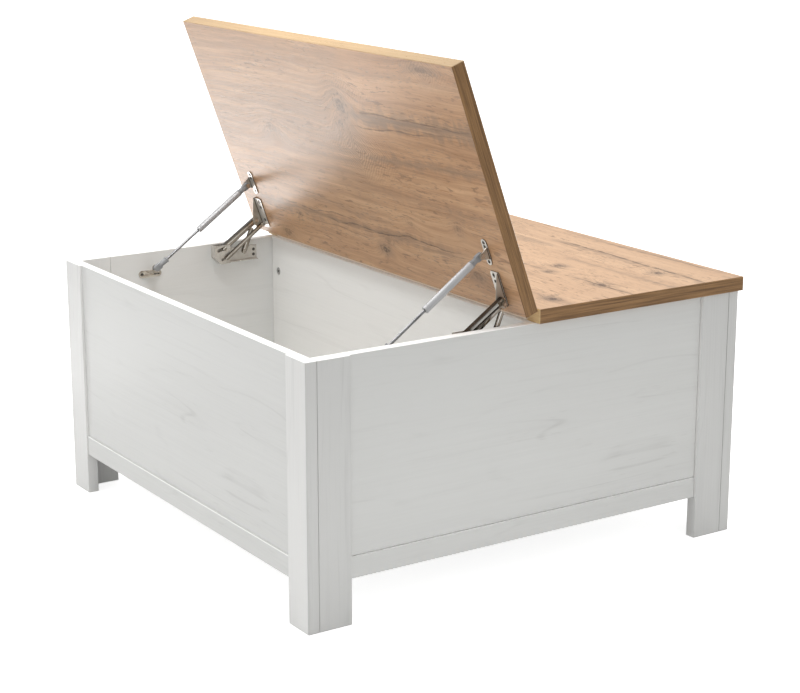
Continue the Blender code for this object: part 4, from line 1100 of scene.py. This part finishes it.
def shelf_block(side, near, far, half, bottom, top):
    """A block over the strut's pin, between two distances from the wall."""
    y = STRUT_PIN[0]
    return block((side * (WALL - near), y - half, bottom), (side * (WALL - far), y + half, top))


print("shelf at", round(SHELF_TOP, 4))

# %% [markdown]
# The bracket is then built for each side. The shelf's top is sunk a little below the plate's, so that
# no two faces lie in one plane when they are joined.

# %% Model the wall brackets
for side_name, side in SIDES:
    y, z = STRUT_PIN
    bracket = drum(side, EAR_RADIUS, PLATE_NEAR, PLATE_NEAR + SHEET, y - EAR_REACH, EAR_LEVEL)
    bracket.name = f"strut_bracket_{side_name}"
    bpy.ops.object.mode_set(mode="EDIT")
    bpy.ops.mesh.select_mode(type="VERT")
    bpy.ops.mesh.select_all(action="DESELECT")
    shape = bmesh.from_edit_mesh(bracket.data)
    for corner in shape.verts:
        corner.select_set(corner.co.y > y - EAR_REACH + HAIR)
    bmesh.update_edit_mesh(bracket.data)
    bpy.ops.transform.translate(value=(0, 2 * EAR_REACH, 0))
    bpy.ops.object.mode_set(mode="OBJECT")
    shelf = shelf_block(side, SHELF_NEAR, TAB_FAR, SHELF_HALF, SHELF_TOP - SHEET, SHELF_TOP - SINK)
    combine(bracket, shelf, "UNION")
    combine(bracket, shelf_block(side, TAB_NEAR, TAB_FAR, TAB_HALF, SHELF_TOP - OVERLAP, z), "UNION")
    combine(bracket, drum(side, TAB_RADIUS, TAB_NEAR, TAB_FAR, y, z), "UNION")
    combine(bracket, drum(side, RIVET_RADIUS, TAB_NEAR - RIVET_OUT, TAB_NEAR + RIVET_IN, y, z), "UNION")
    for hole_y, hole_z in WALL_HOLES["strut_wall"]:
        combine(bracket, drum(side, HOLE_RADIUS, HOLE_START, HOLE_END, hole_y, hole_z))
    soften = bracket.modifiers.new("soften", "BEVEL")
    soften.width = SOFT_EDGE
    soften.segments = 2
    soften.limit_method = "ANGLE"
    soften.angle_limit = SHARP
    bpy.ops.object.modifier_apply(modifier=soften.name)
    bpy.ops.object.shade_smooth_by_angle(angle=SMOOTH_BELOW)
    bracket.data.materials.append(nickel)
    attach(bracket, "body")
    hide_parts(f"strut_{side_name}_wall_bracket")
    print(bracket.name, len(bracket.data.polygons), "faces")

# %% [markdown]
# ## The stage
# The photograph is a cut-out on white. A wide pale floor under a bright, even sky gives that, with
# only a breath of shadow under the box. The pale glare on the raised lid is the floor to the left of the
# box, which the lid mirrors, so that part of the floor is brighter for reflections, as a white card laid
# there would be.

# %% Floor
FLOOR_SIZE, FLOOR_LEVEL = 60.0, -0.0005
FLOOR_TONES = [(0.3, (0.80, 0.80, 0.80)), (0.7, (0.82, 0.82, 0.82))]
FLOOR_GLOW, CARD_GLOW, CARD_FAR_SHARE = 0.76, 4.3, 0.74
CARD_EDGE, CARD_FULL = -0.82, -1.35
CARD_FAR, CARD_NEAR = -2.7, -1.7
CARD_FRONT, CARD_BACK = -1.05, -0.70
bpy.ops.object.select_all(action="DESELECT")
bpy.ops.mesh.primitive_plane_add(size=FLOOR_SIZE, location=(0, 0, FLOOR_LEVEL))
floor = bpy.context.object
floor.name = "studio_floor"
pale, tree, shader, grain = new_material("studio_floor")
haze = noise(tree, grain, 1.5, 2.0)["Fac"]
tree.links.new(ramp(tree, haze, FLOOR_TONES), shader.inputs["Base Color"])
shader.inputs["Roughness"].default_value = 0.9
shader.inputs["Emission Color"].default_value = (1.0, 1.0, 1.0, 1.0)
seen = put(tree, "ShaderNodeLightPath").outputs
place = split(tree, grain)
card = between(tree, place["X"], CARD_EDGE, CARD_FULL, 0.0, CARD_GLOW)
card = reckon(tree, "MULTIPLY", card, between(tree, place["X"], CARD_FAR, CARD_NEAR, CARD_FAR_SHARE, 1.0))
card = reckon(tree, "MULTIPLY", card, between(tree, place["Y"], CARD_FRONT, CARD_BACK))
glow = reckon(tree, "MULTIPLY", seen["Is Camera Ray"], FLOOR_GLOW)
glow = reckon(tree, "MULTIPLY_ADD", seen["Is Glossy Ray"], card, glow)
tree.links.new(glow, shader.inputs["Emission Strength"])
floor.data.materials.append(pale)
print("floor:", floor.name)

# %% [markdown]
# The sky is even and white to the eye. In reflections it is dark near the horizon, like a room, and
# that gives the metal its dark lines.

# %% Sky
SKY_LIGHT, SKY_SEEN = 0.80, 0.30
HORIZON, ZENITH = 0.02, 0.40
HORIZON_MIRRORED, ZENITH_MIRRORED = -0.72, 0.10
sky = bpy.data.worlds.new("studio_sky")
sky.use_nodes = True
tree = sky.node_tree
background = tree.nodes["Background"].inputs
background["Color"].default_value = (1.0, 1.0, 1.0, 1.0)
seen = put(tree, "ShaderNodeLightPath").outputs
height = split(tree, put(tree, "ShaderNodeTexCoord").outputs["Generated"])["Z"]
mirrored = between(tree, height, HORIZON, ZENITH, HORIZON_MIRRORED, ZENITH_MIRRORED)
glow = reckon(tree, "MULTIPLY_ADD", seen["Is Camera Ray"], SKY_SEEN, SKY_LIGHT)
glow = reckon(tree, "MULTIPLY_ADD", seen["Is Glossy Ray"], mirrored, glow)
tree.links.new(glow, background["Strength"])
bpy.context.scene.world = sky
bpy.context.scene.view_settings.view_transform = "Standard"
print("sky:", sky.name)

# %% [markdown]
# A large soft lamp overhead lights the top, a smaller one looks into the open box, and a low strip
# beside the box makes its side brighter towards the floor.

# %% Lamps


def lamp(name, place, aim, size, power):
    """A soft lamp, as long and broad as its size, that looks at its aim."""
    data = bpy.data.lights.new(name, "AREA")
    data.shape = "RECTANGLE"
    data.size, data.size_y = size
    data.energy = power
    item = bpy.data.objects.new(name, data)
    item.location = place
    item.rotation_euler = (Vector(aim) - Vector(place)).to_track_quat("-Z", "Y").to_euler()
    bpy.context.scene.collection.objects.link(item)


lamp("overhead", (-0.2, -0.3, 3.6), (0.0, 0.0, 0.0), (3.0, 3.0), 57.0)
lamp("into_box", (-0.1, -0.40, 1.5), (0.0, -0.1, 0.3), (0.5, 0.5), 7.5)
lamp("low_strip", (0.95, 0.0, 0.05), (0.44, 0.0, 0.10), (1.2, 0.08), 0.65)
print("lamps: 3")
